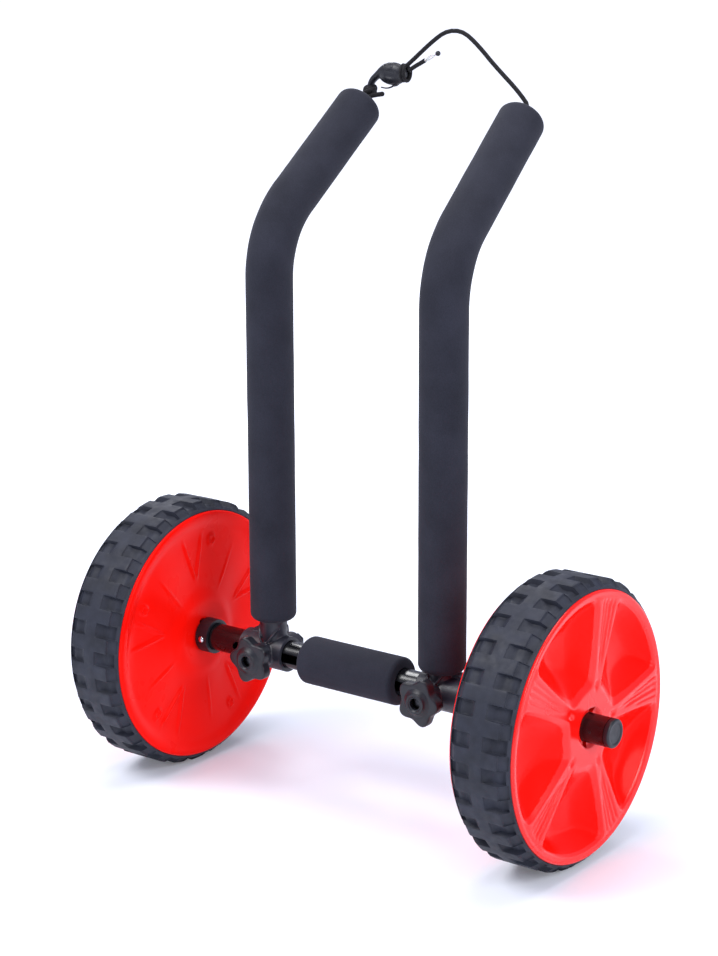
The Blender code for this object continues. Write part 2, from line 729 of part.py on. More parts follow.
def arm_plug(side, arm):
    """Plug in the arm's tip with a hole for the cord."""
    spigot = TUBE_R - ARM_WALL - GAP
    hole = CORD_R + HOLE_GAP
    start = GAP
    profile = [
        (TUBE_R - CAP_ROUNDING, start + PLUG_FLANGE), (TUBE_R, start + PLUG_FLANGE - CAP_ROUNDING),
        (TUBE_R, start), (spigot, start), (spigot, start - PLUG_SPIGOT),
        (hole, start - PLUG_SPIGOT), (hole, start + PLUG_FLANGE),
    ]
    turned(f"{side}_arm_plug", arm, "black_plastic", profile, arm_lean(side),
           arm_tip(side, ARM_TUBE_RECESS), SMALL_SIDES, ring=True)


def arm_pin(side, arm):
    """Cross pin through the arm tube and the clamp's spigot, under the foam."""
    rod(f"{side}_arm_pin", arm, "zinc_steel", (0, -TUBE_R, PIN_Z), (0, TUBE_R, PIN_Z), PIN_R,
        PIN_SIDES)


# Clamps


def wedge(bm, side, foot_x, top_x, foot_z, top_z, half):
    """Three-cornered web along the axle, in the plane of the arm."""
    out = OUTWARD[side]
    low = foot_z / 2
    corners = [(foot_x, low), (foot_x, foot_z), (top_x, top_z), (top_x, low)]
    face = bm.faces.new([bm.verts.new((out * x, -half, z)) for x, z in corners])
    grown = bmesh.ops.extrude_face_region(bm, geom=[face])
    moved = [v for v in grown["geom"] if isinstance(v, bmesh.types.BMVert)]
    bmesh.ops.translate(bm, verts=moved, vec=(0, 2 * half, 0))


def gusset(name, side, parent, grow):
    """Web between the clamp's long end and its neck, grown on all sides for a clearance."""
    bm = bmesh.new()
    foot = CLAMP_OUT - GUSSET_SETBACK
    rise = (GUSSET_TOP_Z - GUSSET_FOOT_Z) / (foot - TUBE_R)
    lift = grow * sqrt(1 + rise * rise)
    wedge(bm, side, foot + grow, TUBE_R / 2, GUSSET_FOOT_Z + lift,
          GUSSET_TOP_Z + rise * TUBE_R / 2 + lift, GUSSET_HALF + grow)
    return solid(name, parent, None, bm)


def clamp(side, arm):
    out = OUTWARD[side]
    length = CLAMP_OUT + CLAMP_IN
    middle = out * (CLAMP_OUT - CLAMP_IN) / 2
    face, half = CLAMP_R - CLAMP_ROUNDING, length / 2
    side_end = half - CLAMP_ROUNDING
    profile = [
        (0, half), (face, half), (CLAMP_R, side_end), (CLAMP_R, -side_end), (face, -half), (0, -half),
    ]
    body = turned(f"{side}_clamp", arm, "black_plastic", profile, (1, 0, 0), (middle, 0, 0))
    spigot = TUBE_R - ARM_WALL - GAP
    neck_profile = [
        (0, NECK_TOP + SPIGOT_LENGTH), (spigot, NECK_TOP + SPIGOT_LENGTH), (spigot, NECK_TOP),
        (TUBE_R, NECK_TOP), (TUBE_R, -TUBE_R / 3), (0, -TUBE_R / 3),
    ]
    neck = turned(f"{side}_clamp_neck", arm, None, neck_profile)
    boss = rod(f"{side}_clamp_boss", arm, None, (0, -BOSS_FRONT, 0), (0, BOSS_BACK, 0), BOSS_R,
               BORE_SIDES)
    bm = bmesh.new()
    wedge(bm, side, GUSSET_SETBACK - CLAMP_IN, -TUBE_R / 2, GUSSET_FOOT_Z, SMALL_GUSSET_TOP_Z,
          GUSSET_HALF)
    small = solid(f"{side}_clamp_small_gusset", arm, None, bm)
    for piece in (neck, boss, gusset(f"{side}_clamp_gusset", side, arm, 0.0), small):
        boolean(body, piece, "UNION")
    bore = rod(f"{side}_clamp_bore", arm, None, (-2 * length, 0, 0), (2 * length, 0, 0),
               CLAMP_BORE_R)
    reach = 2 * BOSS_BACK
    bolt_hole = rod(f"{side}_clamp_bolt_hole", arm, None, (0, -reach, 0), (0, reach, 0),
                    BOLT_R + HOLE_GAP, SMALL_SIDES)
    pin_hole = rod(f"{side}_clamp_pin_hole", arm, None, (0, -reach, PIN_Z), (0, reach, PIN_Z),
                   PIN_R + GAP, SMALL_SIDES)
    for cutter in (bore, bolt_hole, pin_hole):
        boolean(body, cutter, "DIFFERENCE")


def clamp_bolt(side, arm):
    """Bolt through the clamp and the slots in the axle, with its washer at the back."""
    washer_at = BOSS_BACK + GAP
    head_at = washer_at + WASHER_THICK + GAP
    bore = BOLT_R + HOLE_GAP
    half = WASHER_THICK / 2
    turned(f"{side}_back_washer", arm, "black_steel", ring_profile(WASHER_R, bore, half),
           (0, 1, 0), (0, washer_at + half, 0), SMALL_SIDES, ring=True)
    bolt = rod(f"{side}_clamp_bolt", arm, "black_steel", (0, -BOLT_TIP, 0),
               (0, head_at + HEAD_THICK / 2, 0), BOLT_R, BORE_SIDES)
    head = rod(f"{side}_bolt_head", arm, None, (0, head_at, 0), (0, head_at + HEAD_THICK, 0),
               HEAD_R, 6)
    boolean(bolt, head, "UNION")


def knob(side, arm):
    """Star knob with a threaded brass insert, and the washer it presses on the clamp."""
    axis = empty(f"{side}_knob_axis", arm, (0, -BOSS_FRONT - GAP, 0))
    half = WASHER_THICK / 2
    bore = BOLT_R + HOLE_GAP
    turned(f"{side}_front_washer", axis, "black_steel", ring_profile(WASHER_R, bore, half),
           (0, 1, 0), (0, -half, 0), SMALL_SIDES, ring=True)
    back = -WASHER_THICK - GAP
    front = back - KNOB_THICK
    face = front + KNOB_HUB_RISE
    middle, swing = (KNOB_R + KNOB_VALLEY_R) / 2, (KNOB_R - KNOB_VALLEY_R) / 2
    bm = bmesh.new()
    corners = []
    for i in range(KNOB_POINTS):
        angle = 2 * pi * i / KNOB_POINTS
        wave = cos(KNOB_LOBES * (angle - KNOB_ANGLE[side]))
        radius = middle + swing * wave
        corners.append(bm.verts.new((radius * cos(angle), back, radius * sin(angle))))
    plate = bm.faces.new(corners)
    grown = bmesh.ops.extrude_face_region(bm, geom=[plate])
    moved = [v for v in grown["geom"] if isinstance(v, bmesh.types.BMVert)]
    bmesh.ops.translate(bm, verts=moved, vec=(0, face - back, 0))
    star = solid(f"{side}_knob", axis, "black_plastic", bm)
    edge = star.modifiers.new("edges", "BEVEL")
    edge.width = KNOB_ROUNDING
    edge.segments = 1
    edge.limit_method = "ANGLE"
    edge.angle_limit = radians(60)
    pocket = rod(f"{side}_knob_pocket", axis, None, (0, 0, 0), (0, back - INSERT_LENGTH - 2 * GAP, 0),
                 INSERT_R + GAP, BORE_SIDES)
    eye = rod(f"{side}_knob_eye", axis, None, (0, 0, 0), (0, 2 * front, 0), KNOB_EYE_R, BORE_SIDES)
    inside = -(back + face) / 2
    hub_profile = [
        (0, -front), (KNOB_HUB_R - KNOB_HUB_EDGE, -front), (KNOB_HUB_R, -front - KNOB_HUB_EDGE),
        (KNOB_HUB_FOOT_R, inside), (0, inside),
    ]
    hub = turned(f"{side}_knob_hub", axis, None, hub_profile, (0, -1, 0))
    boolean(star, hub, "UNION")
    boolean(star, pocket, "DIFFERENCE")
    boolean(star, eye, "DIFFERENCE")
    half = INSERT_LENGTH / 2
    turned(f"{side}_knob_insert", axis, "brass", ring_profile(INSERT_R, bore, half),
           (0, 1, 0), (0, back - GAP - half, 0), SMALL_SIDES, ring=True)


# Bungee cord and snap hook


def cord_end(side, arm):
    """Stop knot behind the arm's plug, with the cord that runs through the plug's hole."""
    lean = arm_lean(side)
    face = arm_tip(side, ARM_TUBE_RECESS - PLUG_FLANGE - GAP)
    behind = arm_tip(side, ARM_TUBE_RECESS + PLUG_SPIGOT)
    knot_at = behind - lean * STOP_KNOT_R
    knot = ball(f"{side}_stop_knot", arm, "black_cord", knot_at, (STOP_KNOT_R,) * 3,
                SMALL_BALL_RINGS)
    lead = rod(f"{side}_stop_lead", arm, None, knot_at, face, CORD_R, THIN_SIDES)
    boolean(knot, lead, "UNION")
    return face + lean * GAP


def bungee(arms, right_face):
    """The free cord from the right arm's tip to the hook, cut at its highest point."""
    right_start = right_face + arms["right"].location
    lead = right_start + arm_lean("right") * CORD_LEAD
    route = [right_start, lead] + RIGHT_ROUTE + [HALVES_MEET] + LEFT_ROUTE + [CORD_END_AT_HOOK]
    points = smooth_run(route, CORD_SPACING)
    top = max(range(len(points)), key=lambda i: points[i].z)
    way = (points[top + 1] - points[top - 1]).normalized()
    gap = way * GAP / 2
    lead = way * CORD_R
    halves = {
        "right": points[:top] + [points[top] - lead, points[top] - gap],
        "left": [points[top] + gap, points[top] + lead] + points[top + 1 :],
    }
    for side, half in halves.items():
        off = arms[side].location
        wire(f"bungee_{side}", arms[side], "black_cord", [p - off for p in half], CORD_R)


def tail(arm):
    """Cut end of the cord past the hook: sheath, bare core and the bead on its end."""
    off = arm.location
    points = smooth_run([TAIL_START] + TAIL_ROUTE + [TAIL_CUT], CORD_SPACING / 2)
    wire("bungee_tail", arm, "black_cord", [p - off for p in points], CORD_R)
    way = (Vector(BEAD_AT) - Vector(TAIL_CUT)).normalized()
    start = Vector(TAIL_CUT) + way * GAP
    end = Vector(BEAD_AT) - way * (BEAD_R + GAP)
    rod("tail_core", arm, "clear_core", start - off, end - off, CORE_R, THIN_SIDES)
    ball("tail_bead", arm, "black_plastic", Vector(BEAD_AT) - off, (BEAD_R,) * 3, SMALL_BALL_RINGS)


def snap_hook(arm):
    off = arm.location
    body = ball("hook_body", arm, "black_plastic", Vector(HOOK_BODY_AT) - off, HOOK_BODY_SIZE)
    thick = HOOK_ARM[0][2]
    points = [Vector((x, CORD_Y, z)) - off for x, z, _ in HOOK_ARM]
    bar = as_mesh(wire("hook_bar", arm, None, points, thick, 3, [r / thick for _, _, r in HOOK_ARM]))
    boolean(body, bar, "UNION")
    root = HOOK_GATE[0]
    axis = empty("hook_gate_axis", arm, Vector((root[0], CORD_Y, root[1])) - off)
    points = [(x - root[0], 0, z - root[1]) for x, z in HOOK_GATE]
    wire("hook_gate", axis, "black_plastic", points, GATE_R)


def cord_loop(arm, face):
    """Loop of the same cord on the left arm, knotted above the plug, which the hook holds."""
    off = arm.location
    knot_at = face + arm_lean("left") * LOOP_KNOT_OUT
    knot = ball("left_loop", arm, "black_cord", knot_at, (LOOP_KNOT_R,) * 3)
    lead = rod("loop_lead", arm, None, face, knot_at, CORD_R, THIN_SIDES)
    points = [p - off for p in smooth_run(LOOP_ROUTE, CORD_SPACING / 2)]
    loop = as_mesh(wire("loop_turn", arm, None, points, CORD_R))
    points = [p - off for p in smooth_run(LOOP_TAIL, CORD_SPACING / 2)]
    stub = as_mesh(wire("loop_stub", arm, None, points, CORD_R))
    for piece in (lead, loop, stub):
        boolean(knot, piece, "UNION")


# The cart


def build():
    cart = empty("cart", None, (0, AXLE_Y, AXLE_Z))
    axle(cart)
    axle_padding(cart)
    arms = {}
    faces = {}
    for side in ("left", "right"):
        out = OUTWARD[side]
        wheel = empty(f"{side}_wheel", cart, (out * WHEEL_X, 0, 0), 0.0 if out > 0 else pi)
        tyre(f"{side}_tyre", wheel)
        rim(f"{side}_rim", wheel)
        end_cap(side, cart)
        stop_collar(side, cart)
        spring_button(side, "inner", cart, INNER_BUTTON_X, -1, INNER_BUTTON_TIP)
        spring_button(side, "outer", cart, OUTER_BUTTON_X, 1, OUTER_BUTTON_TIP)
        arm = empty(f"{side}_arm", cart, (ARM_X[side], 0, 0))
        arms[side] = arm
        clamp(side, arm)
        clamp_bolt(side, arm)
        knob(side, arm)
        arm_tube(side, arm)
        arm_foam(side, arm)
        arm_plug(side, arm)
        arm_pin(side, arm)
        faces[side] = cord_end(side, arm)
    bungee(arms, faces["right"])
    tail(arms["left"])
    snap_hook(arms["left"])
    cord_loop(arms["left"], faces["left"])
    bpy.context.view_layer.update()


build()
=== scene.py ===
# Looks of a two-wheeled hand cart for a surfboard.
# Metres, +Z up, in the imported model's frame: the axle lies along X, the arms bend towards +Y
# and the clamp knobs face -Y. "Left" is the wheel at -X, "right" the one at +X.

import json
from math import atan2, cos, exp, hypot, log, pi, radians, sin, sqrt, tan

import bmesh
import bpy
from mathutils import Matrix, Vector


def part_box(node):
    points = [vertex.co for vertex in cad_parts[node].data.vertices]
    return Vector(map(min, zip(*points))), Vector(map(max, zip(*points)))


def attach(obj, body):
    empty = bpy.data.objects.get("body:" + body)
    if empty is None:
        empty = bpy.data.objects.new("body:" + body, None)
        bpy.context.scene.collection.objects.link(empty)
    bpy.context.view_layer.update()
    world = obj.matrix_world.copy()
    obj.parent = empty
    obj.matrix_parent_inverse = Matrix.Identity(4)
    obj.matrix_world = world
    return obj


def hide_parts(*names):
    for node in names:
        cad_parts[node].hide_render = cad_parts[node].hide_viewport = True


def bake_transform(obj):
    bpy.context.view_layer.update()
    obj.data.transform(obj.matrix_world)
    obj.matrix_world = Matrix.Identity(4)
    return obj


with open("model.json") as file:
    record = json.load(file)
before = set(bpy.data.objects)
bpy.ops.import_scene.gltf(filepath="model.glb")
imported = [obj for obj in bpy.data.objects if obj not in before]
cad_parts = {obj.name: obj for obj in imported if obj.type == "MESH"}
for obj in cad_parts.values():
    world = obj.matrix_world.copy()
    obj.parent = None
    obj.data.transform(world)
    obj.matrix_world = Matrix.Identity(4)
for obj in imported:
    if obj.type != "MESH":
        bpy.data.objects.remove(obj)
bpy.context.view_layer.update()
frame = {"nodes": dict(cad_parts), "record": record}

# Where the axle's middle is in the frame
low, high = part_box("axle_tube")
AXLE = (low + high) / 2

# Photograph: image size, focal length in pixels, place and turn of the camera
PHOTO_SIZE = (718, 956)
FOCAL_PX = 2352.1
CAMERA_AT = Vector((1.2145, -1.6158, 0.8230))
CAMERA_AZIMUTH = radians(37.096)
CAMERA_ELEVATION = radians(14.394)
CAMERA_ROLL = radians(-0.195)
SENSOR = 36.0

# Studio: each softbox's place, the point that it faces, its size and its watts
SOFTBOXES = {
    "key_softbox": ((-1.2, -1.6, 2.5), (0, 0, 0.2), (1.5, 1.1), 56),
    "side_softbox": ((2.4, -0.5, 1.5), (0.1, 0, 0.2), (1.2, 1.6), 40),
    "top_softbox": ((0.1, 0.2, 2.7), (0, 0, 0.1), (1.6, 1.2), 28),
    "back_softbox": ((-1.75, 1.5, 1.9), (0, 0, 0.2), (0.9, 0.7), 16),
}
WORLD_LIGHT = 0.62
FLOOR_SIZE = 120
FLOOR_GLOW = {"From Min": 0.5, "From Max": 2.3, "To Min": 0.12, "To Max": 0.7}

# Wheels
TYRE_R = 0.1268
TYRE_SEAT_R = 0.1183
SHOULDER_R = 0.1191
TYRE_HALF = 0.0294
WHEEL_HALF = 0.0317
WHEEL_X = 0.2131
RIM_R = 0.1181
BORE_R = 0.0131
TREAD_PITCHES = 30
STEPS_A_PITCH = 12
TREAD_PHASE = {"left": radians(4), "right": radians(10)}
POCKET_FROM = 0.0060
POCKET_RAMP = 0.0062
POCKET_TO = 0.0270
POCKET_SHALLOW = 0.0010
POCKET_DEEP = 0.0048
POCKET_FLOOR_R = 0.1194
NOTCH_FROM = 0.0205
NOTCH_TO = 0.0284
NOTCH_DEPTH = 0.0020
POCKET_HALF_STEPS = 3.0
NOTCH_FROM_STEP = 3.4
POCKET_LIP = 0.0004
NOTCH_LIP = 0.0003

# Half of the tyre's section, from its seat on the rim to the tread: distance from the middle, radius
TYRE_SECTION = [
    (TYRE_HALF, TYRE_SEAT_R), (TYRE_HALF, SHOULDER_R), (NOTCH_TO, 0.1203), (POCKET_TO, 0.1217),
    (0.0255, 0.1232), (0.0238, 0.1247), (0.0222, 0.1259), (NOTCH_FROM, TYRE_R), (0.0180, TYRE_R),
    (0.0150, TYRE_R), (POCKET_FROM + POCKET_RAMP, TYRE_R), (0.0100, TYRE_R), (0.0080, TYRE_R),
    (POCKET_FROM, TYRE_R),
]

# Moulded rim's outer face: five scoops between creased spokes, and a seat round the axle.
# Each crease is its place across the spoke, from -1 to 1, and the radius that it starts at.
# A pair of radii is where a form starts and where it has its full depth. The dimple's halves are
# its half widths across and along the spoke.
SPOKES = 5
SPOKE_ANGLE = radians(4)
SPOKE_HALF_TIP = 0.0044
SPOKE_HALF_RIM = 0.0152
SPOKE_FLARE = 1.15
SPOKE_CREASES = ((0.55, 0.060), (0.18, 0.044), (-0.22, 0.050), (-0.62, 0.066))
SPOKE_VALLEY = 0.0010
VALLEY_SHARE = 0.8
VALLEY_RADII = (0.0400, 0.0700)
CREASE_DEPTH = 0.0010
CREASE_HALF = 0.0019
CREASE_GROWS = 0.0200
CREASE_END_RADII = (0.1120, 0.1060)
SCOOP_TIP_R = 0.0330
SCOOP_ROUNDING = 0.0036
SCOOP_RIM_R = 0.1120
SCOOP_RIM_STEEPNESS = 1.2
SCOOP_DEPTH = 0.0165
SCOOP_WALL = 0.0280
SCOOP_TIP_SHARE = 0.6
SCOOP_DEEPENS = 1.5
DIMPLE_R = 0.0365
DIMPLE_DEPTH = 0.0016
DIMPLE_HALVES = (0.0042, 0.0065)
SEAT_DEPTH = 0.0030
SEAT_RADII = (0.0178, 0.0153)
LIP_R = 0.1140
LIP_STEP = 0.0009
LIP_STEP_RADII = (0.1100, 0.1120)
RIM_EDGE = ((0.0, 0.1158), (0.0006, 0.1174), (0.0020, RIM_R))

# Its inner face: a dish with waves, forked folds, ridges and five small moulded rings.
# Each form has a pair of radii at its inner end and one at its outer end.
DISH_DEPTH = 0.0030
DISH_RADII = ((0.0300, 0.0460), (0.1141, 0.1021))
WAVE_DEPTH = 0.0034
WAVE_RADII = ((0.0320, 0.0620), (0.1120, 0.0920))
FOLD_ANGLE = radians(12)
FOLD_HEIGHT = 0.0019
FOLD_HALF = 0.0032
FOLD_FORK_R = 0.0520
FOLD_FORK_SLOPE = 0.30
FOLD_RADII = ((0.0500, 0.0600), (0.1030, 0.0830))
RIDGE_ANGLE = radians(48)
RIDGE_HEIGHT = 0.0011
RIDGE_HALF = 0.0028
RIDGE_RADII = ((0.0400, 0.0600), (0.0950, 0.0650))
RING_ANGLE = radians(28)
RING_AT_R = 0.0900
RING_R = 0.0040
RING_HEIGHT = 0.0018
RING_HALF = 0.0018

# How finely the rim is turned, what is cut through it and which of its faces are scoops; the scoops and the
# inner face take red with painted shade
RIM_STEPS = 700
OUTER_ROWS = 62
INNER_ROWS = 40
KEY_ANGLES = (radians(70), radians(250))
KEY_AT_R = 0.0141
KEY_R = 0.0034
VENT_ANGLE = radians(200)
VENT_AT_R = 0.0400
VENT_R = 0.0030
VENT_FLOOR_X = -0.0240
INSIDE_DEPTH = 0.0075
SCOOP_FROM_DEPTH = 0.0032
SCOOP_FACING = 0.3

# Axle and what is fixed to it
TUBE_R = 0.0127
AXLE_WALL = 0.0020
AXLE_HALF = 0.2642
SLOT_INNER_X = 0.0450
SLOT_OUTER_X = 0.1375
SLOT_HALF_HEIGHT = 0.0044
CAP_FACE_X = 0.2695
CAP_FACE_RADII = (0.0098, 0.0115)
CAP_HOLLOW = (0.2686, 0.0085)
CAP_EDGE_X = 0.2685
CAP_STEM = (0.2565, 0.0102)
COLLAR_R = 0.01625
COLLAR_HALF = 0.0065
COLLAR_X = 0.1735
BUTTON_R = 0.0032
BUTTON_DOME = 0.0022
BUTTON_DOME_ROWS = (0, 0.3, 0.55, 0.75, 0.9, 0.98, 1)
BUTTON_FOOT_R = 0.0042
BUTTON_FOOT = (0.0083, 0.0095)
INNER_BUTTON_TIP = 0.0178
OUTER_BUTTON_TIP = 0.0155
OUTER_BUTTON_X = 0.2498
AXLE_FOAM_LEFT = -0.0560
AXLE_FOAM_RIGHT = 0.0500
AXLE_FOAM_R = 0.0220
AXLE_FOAM_ROWS = 26
AXLE_FOAM_DENT = 0.00035
FOAM_ROUNDING = 0.0070
FOAM_DENT_SPACING = 0.03

# Gaps that keep pieces apart, the clearance of holes, and how far cutters reach from the middle
GAP = 0.0003
CLEARANCE = 0.0004
CUTTER_REACH = 0.06
TUBE_CUTTER_REACH = 0.025
COLLAR_CUTTER_REACH = 0.03

# Arms
SIDES = {"left": -1, "right": 1}
ARM_X = {"left": -0.0980, "right": 0.0920}
ARM_CORNER = {"left": 0.3910, "right": 0.3820}
ARM_REACH = {"left": 0.1680, "right": 0.1770}
ARM_TURN = {"left": radians(-1.3), "right": radians(5.7)}
FOAM_FOOT = {"left": 0.0313, "right": 0.0195}
ARM_BEND = radians(52.5)
LEAN = Vector((0, sin(ARM_BEND), cos(ARM_BEND)))
ARM_BEND_R = 0.0870
ARM_WALL = 0.0015
ARM_FOAM_R = 0.0213
ARM_FOAM_DENT = 0.0005
FOAM_BORE_R = 0.0131
ARM_TUBE_RECESS = 0.0045
PLUG_FLANGE = 0.0030
PLUG_R = 0.0109
PLUG_LENGTH = 0.0140

# Clamps, bolts and knobs
CLAMP_R = 0.0165
CLAMP_IN = 0.0190
CLAMP_OUT = 0.0300
NECK_TOP = 0.0310
BOSS_R = 0.0110
BOSS_FRONT = 0.0259
BOSS_BACK = 0.0288
WEB_FOOT_X = 0.0285
WEB_FOOT_Z = 0.0150
WEB_TOP_X = 0.0064
WEB_TOP_Z = 0.0276
WEB_LOW_Z = 0.0080
WEB_HALF = 0.0030
SMALL_WEB_FOOT_X = 0.0175
SMALL_WEB_TOP_Z = 0.0185
SADDLE_RIB = [
    (0, 0.0152, 0.0075),
    (0.0050, 0.0140, 0.0140),
    (0.0088, 0.0100, 0.0205),
    (0.0112, 0.0062, 0.0250),
]
SADDLE_RIB_R = 0.0011
CLAMP_VOXEL = 0.0005
BOLT_R = 0.0040
BOLT_TIP_Y = -0.0370
HEAD_R = 0.0075
HEAD_THICK = 0.0053
WASHER_R = 0.0090
WASHER_THICK = 0.0015
KNOB_ANGLE = {"left": radians(36), "right": radians(71)}
KNOB_R = 0.0222
KNOB_VALLEY_R = 0.0172
KNOB_THICK = 0.0140
KNOB_ROUNDING = 0.0022
KNOB_HUB_R = 0.0092
KNOB_HUB_FOOT_R = 0.0135
KNOB_HUB_RISE = 0.0036
KNOB_EYE_R = 0.0053

# Outline of the knob's hub: height over the lobes' face, then over the hub's own front, and radius
HUB_FOOT = ((-0.0002, KNOB_HUB_FOOT_R), (0.0012, 0.0112))
HUB_FRONT = (
    (-0.0012, 0.0096), (-0.0003, KNOB_HUB_R), (0.0, KNOB_HUB_R - 0.0005), (0.0, 0.0070),
    (-0.0008, 0.0062), (-0.0008, 0.0),
)

# Bungee cord, from the middle of the axle, at its real length
CORD_R = 0.0020
CORD_SPACING = 0.0060
RIGHT_ROUTE = [
    (0.0752, 0.1500, 0.4985),
    (0.0698, 0.1512, 0.5046),
    (0.0600, 0.1515, 0.5140),
    (0.0485, 0.1512, 0.5240),
    (0.0372, 0.1502, 0.5345),
    (0.0262, 0.1492, 0.5455),
    (0.0150, 0.1482, 0.5552),
    (0.0076, 0.1475, 0.5595),
]
HALVES_MEET = (0.0000, 0.1470, 0.5609)
LEFT_ROUTE = [
    (-0.0075, 0.1466, 0.5600),
    (-0.0150, 0.1463, 0.5570),
    (-0.0265, 0.1460, 0.5490),
    (-0.0380, 0.1460, 0.5399),
    (-0.0450, 0.1460, 0.5342),
]
CORD_END_AT_HOOK = (-0.0528, 0.1460, 0.5281)
CORD_LEAD = 0.0070
TAIL_ROUTE = [
    (-0.0503, 0.1460, 0.5238),
    (-0.0430, 0.1458, 0.5280),
    (-0.0370, 0.1455, 0.5310),
    (-0.0323, 0.1453, 0.5335),
]
BEAD_AT = (-0.0178, 0.1450, 0.5403)
BEAD_R = 0.0024
STRAND_R = 0.00045
STRAND_SPREAD = 0.0011
STRANDS = ((1.0, 0.0), (-0.5, 0.8), (0.2, -1.0), (-1.0, -0.3), (0.4, 0.5))
HOOK_Y = 0.1460
HOOK_BODY_AT = (-0.0688, 0.1460, 0.5200)
HOOK_BODY_SIZE = (0.0162, 0.0060, 0.0104)
HOOK_PANEL_SIZE = (0.0105, 0.0034, 0.0066)
HOOK_PANEL_OFFSET = (0.0010, 0.0078, 0.0002)
HOOK_VOXEL = 0.0004
HOOK_ARM = [
    (-0.0660, 0.5250, 0.0052),
    (-0.0767, 0.5236, 0.0050),
    (-0.0840, 0.5190, 0.0048),
    (-0.0899, 0.5146, 0.0042),
    (-0.0932, 0.5103, 0.0035),
    (-0.0945, 0.5060, 0.0033),
    (-0.0941, 0.5040, 0.0030),
    (-0.0926, 0.5026, 0.0024),
]
HOOK_GATE = [(-0.0655, 0.5108), (-0.0700, 0.5080), (-0.0755, 0.5066), (-0.0819, 0.5070)]
HOOK_TONGUE_ROOT = ((0.0035, 0.0035, 0.0034), (0, 0, 0.0026), (-0.0030, -0.0016, 0.0014))
HOOK_TONGUE_R = 0.0009
HOOK_TONGUE_TAPER = 0.0003
HOOK_WRAP_X = -0.0556
HOOK_WRAP_R = 0.0016
HOOK_WRAP_SIZE = (0.0052, 0.0072)
HOOK_WRAP_RISE = 0.0012
LOOP_KNOT_AT = (-0.0938, 0.1446, 0.5030)
LOOP_KNOT_R = 0.0052
LOOP_TURN_R = 0.0048
LOOP_TURNS = ((radians(25), -0.0014), (radians(70), 0.0014), (radians(125), 0.0))
LOOP_TURN_LEAN = (0.35, 0.9, 0.2)
LOOP_TAIL = [
    (-0.0940, 0.1405, 0.4980),
    (-0.0885, 0.1412, 0.4995),
    (-0.0835, 0.1425, 0.5005),
    (-0.0792, 0.1437, 0.5012),
]

# Patterns: the middle of a noise's range, foam cells and clouds in mm, strands of the braid
NOISE_MIDDLE = {"From Min": 0.3, "From Max": 0.7}
FOAM_CELL_MM = 1.1
FOAM_CLOUD_MM = 34
BRAID_ROUND = 8
BRAID_A_METRE = 520


# Nodes and materials


def linear(hex_colour):
    """Linear RGBA from an sRGB hex colour."""
    values = [int(hex_colour[i : i + 2], 16) / 255 for i in (1, 3, 5)]
    return [v / 12.92 if v <= 0.04045 else ((v + 0.055) / 1.055) ** 2.4 for v in values] + [1]


def node(tree, kind, inputs=None, output=0, to=None, **settings):
    """Adds one node with its settings and links, and gives one of its outputs.

    An input takes a value or the socket that feeds it, and the output may feed a socket itself.
    """
    made = tree.nodes.new(kind)
    for name, value in settings.items():
        setattr(made, name, value)
    for place, value in (inputs or {}).items():
        if isinstance(value, bpy.types.NodeSocket):
            tree.links.new(value, made.inputs[place])
        else:
            made.inputs[place].default_value = value
    if to:
        tree.links.new(made.outputs[output], to)
    return made.outputs[output] if made.outputs else None


def new_material(name, **sockets):
    """A material with one Principled shader, its sockets set by name."""
    material = bpy.data.materials.new(name)
    material.use_nodes = True
    tree = material.node_tree
    shader = tree.nodes["Principled BSDF"]
    for place, value in sockets.items():
        shader.inputs[place.replace("_", " ")].default_value = value
    where = node(tree, "ShaderNodeTexCoord", output="Object")
    return material, tree, shader, where


def clouded(name, tone=None, roughness=None, grain=None, **sockets):
    """A material whose tone, roughness and grain each follow a noise with its own size.

    Sizes are in millimetres: tone is (size, detail, dark, light), roughness is (size, low, high)
    and grain is (size, detail, strength, height in metres). The middle of a noise spans the range.
    """
    material, tree, shader, where = new_material(name, **sockets)
    if tone:
        size, detail, dark, light = tone
        value = node(tree, "ShaderNodeTexNoise", {"Vector": where, "Scale": 1000 / size, "Detail": detail})
        share = node(tree, "ShaderNodeMapRange", {"Value": value, **NOISE_MIDDLE})
        node(tree, "ShaderNodeMix", {0: share, 6: linear(dark), 7: linear(light)}, 2,
             shader.inputs["Base Color"], data_type="RGBA")
    if roughness:
        size, low_end, high_end = roughness
        value = node(tree, "ShaderNodeTexNoise", {"Vector": where, "Scale": 1000 / size})
        span = {"To Min": low_end, "To Max": high_end}
        node(tree, "ShaderNodeMapRange", {"Value": value, **NOISE_MIDDLE, **span},
             to=shader.inputs["Roughness"])
    if grain:
        size, detail, strength, height = grain
        value = node(tree, "ShaderNodeTexNoise", {"Vector": where, "Scale": 1000 / size, "Detail": detail})
        node(tree, "ShaderNodeBump", {"Height": value, "Strength": strength, "Distance": height},
             to=shader.inputs["Normal"])
    return material


def tyre_rubber():
    """Moulded natural rubber: blue-black, matt, with a fine grain and a trace of dust."""
    return clouded("tyre_rubber", tone=(18, 5, "#1a1c25", "#292c38"), roughness=(7, 0.52, 0.68),
                   grain=(1.6, 3, 0.35, 0.0003), IOR=1.52, Specular_IOR_Level=0.35)


def red_polyethylene(name, level, roughness):
    """Blow-moulded polyethylene: strong red with a slight orange peel from the mould."""
    return clouded(name, tone=(60, 2, "#fb0d05", "#ff1208"), roughness=(25, roughness, roughness + 0.08),
                   grain=(4.5, 1, 0.12, 0.0003), IOR=1.51, Specular_IOR_Level=level)


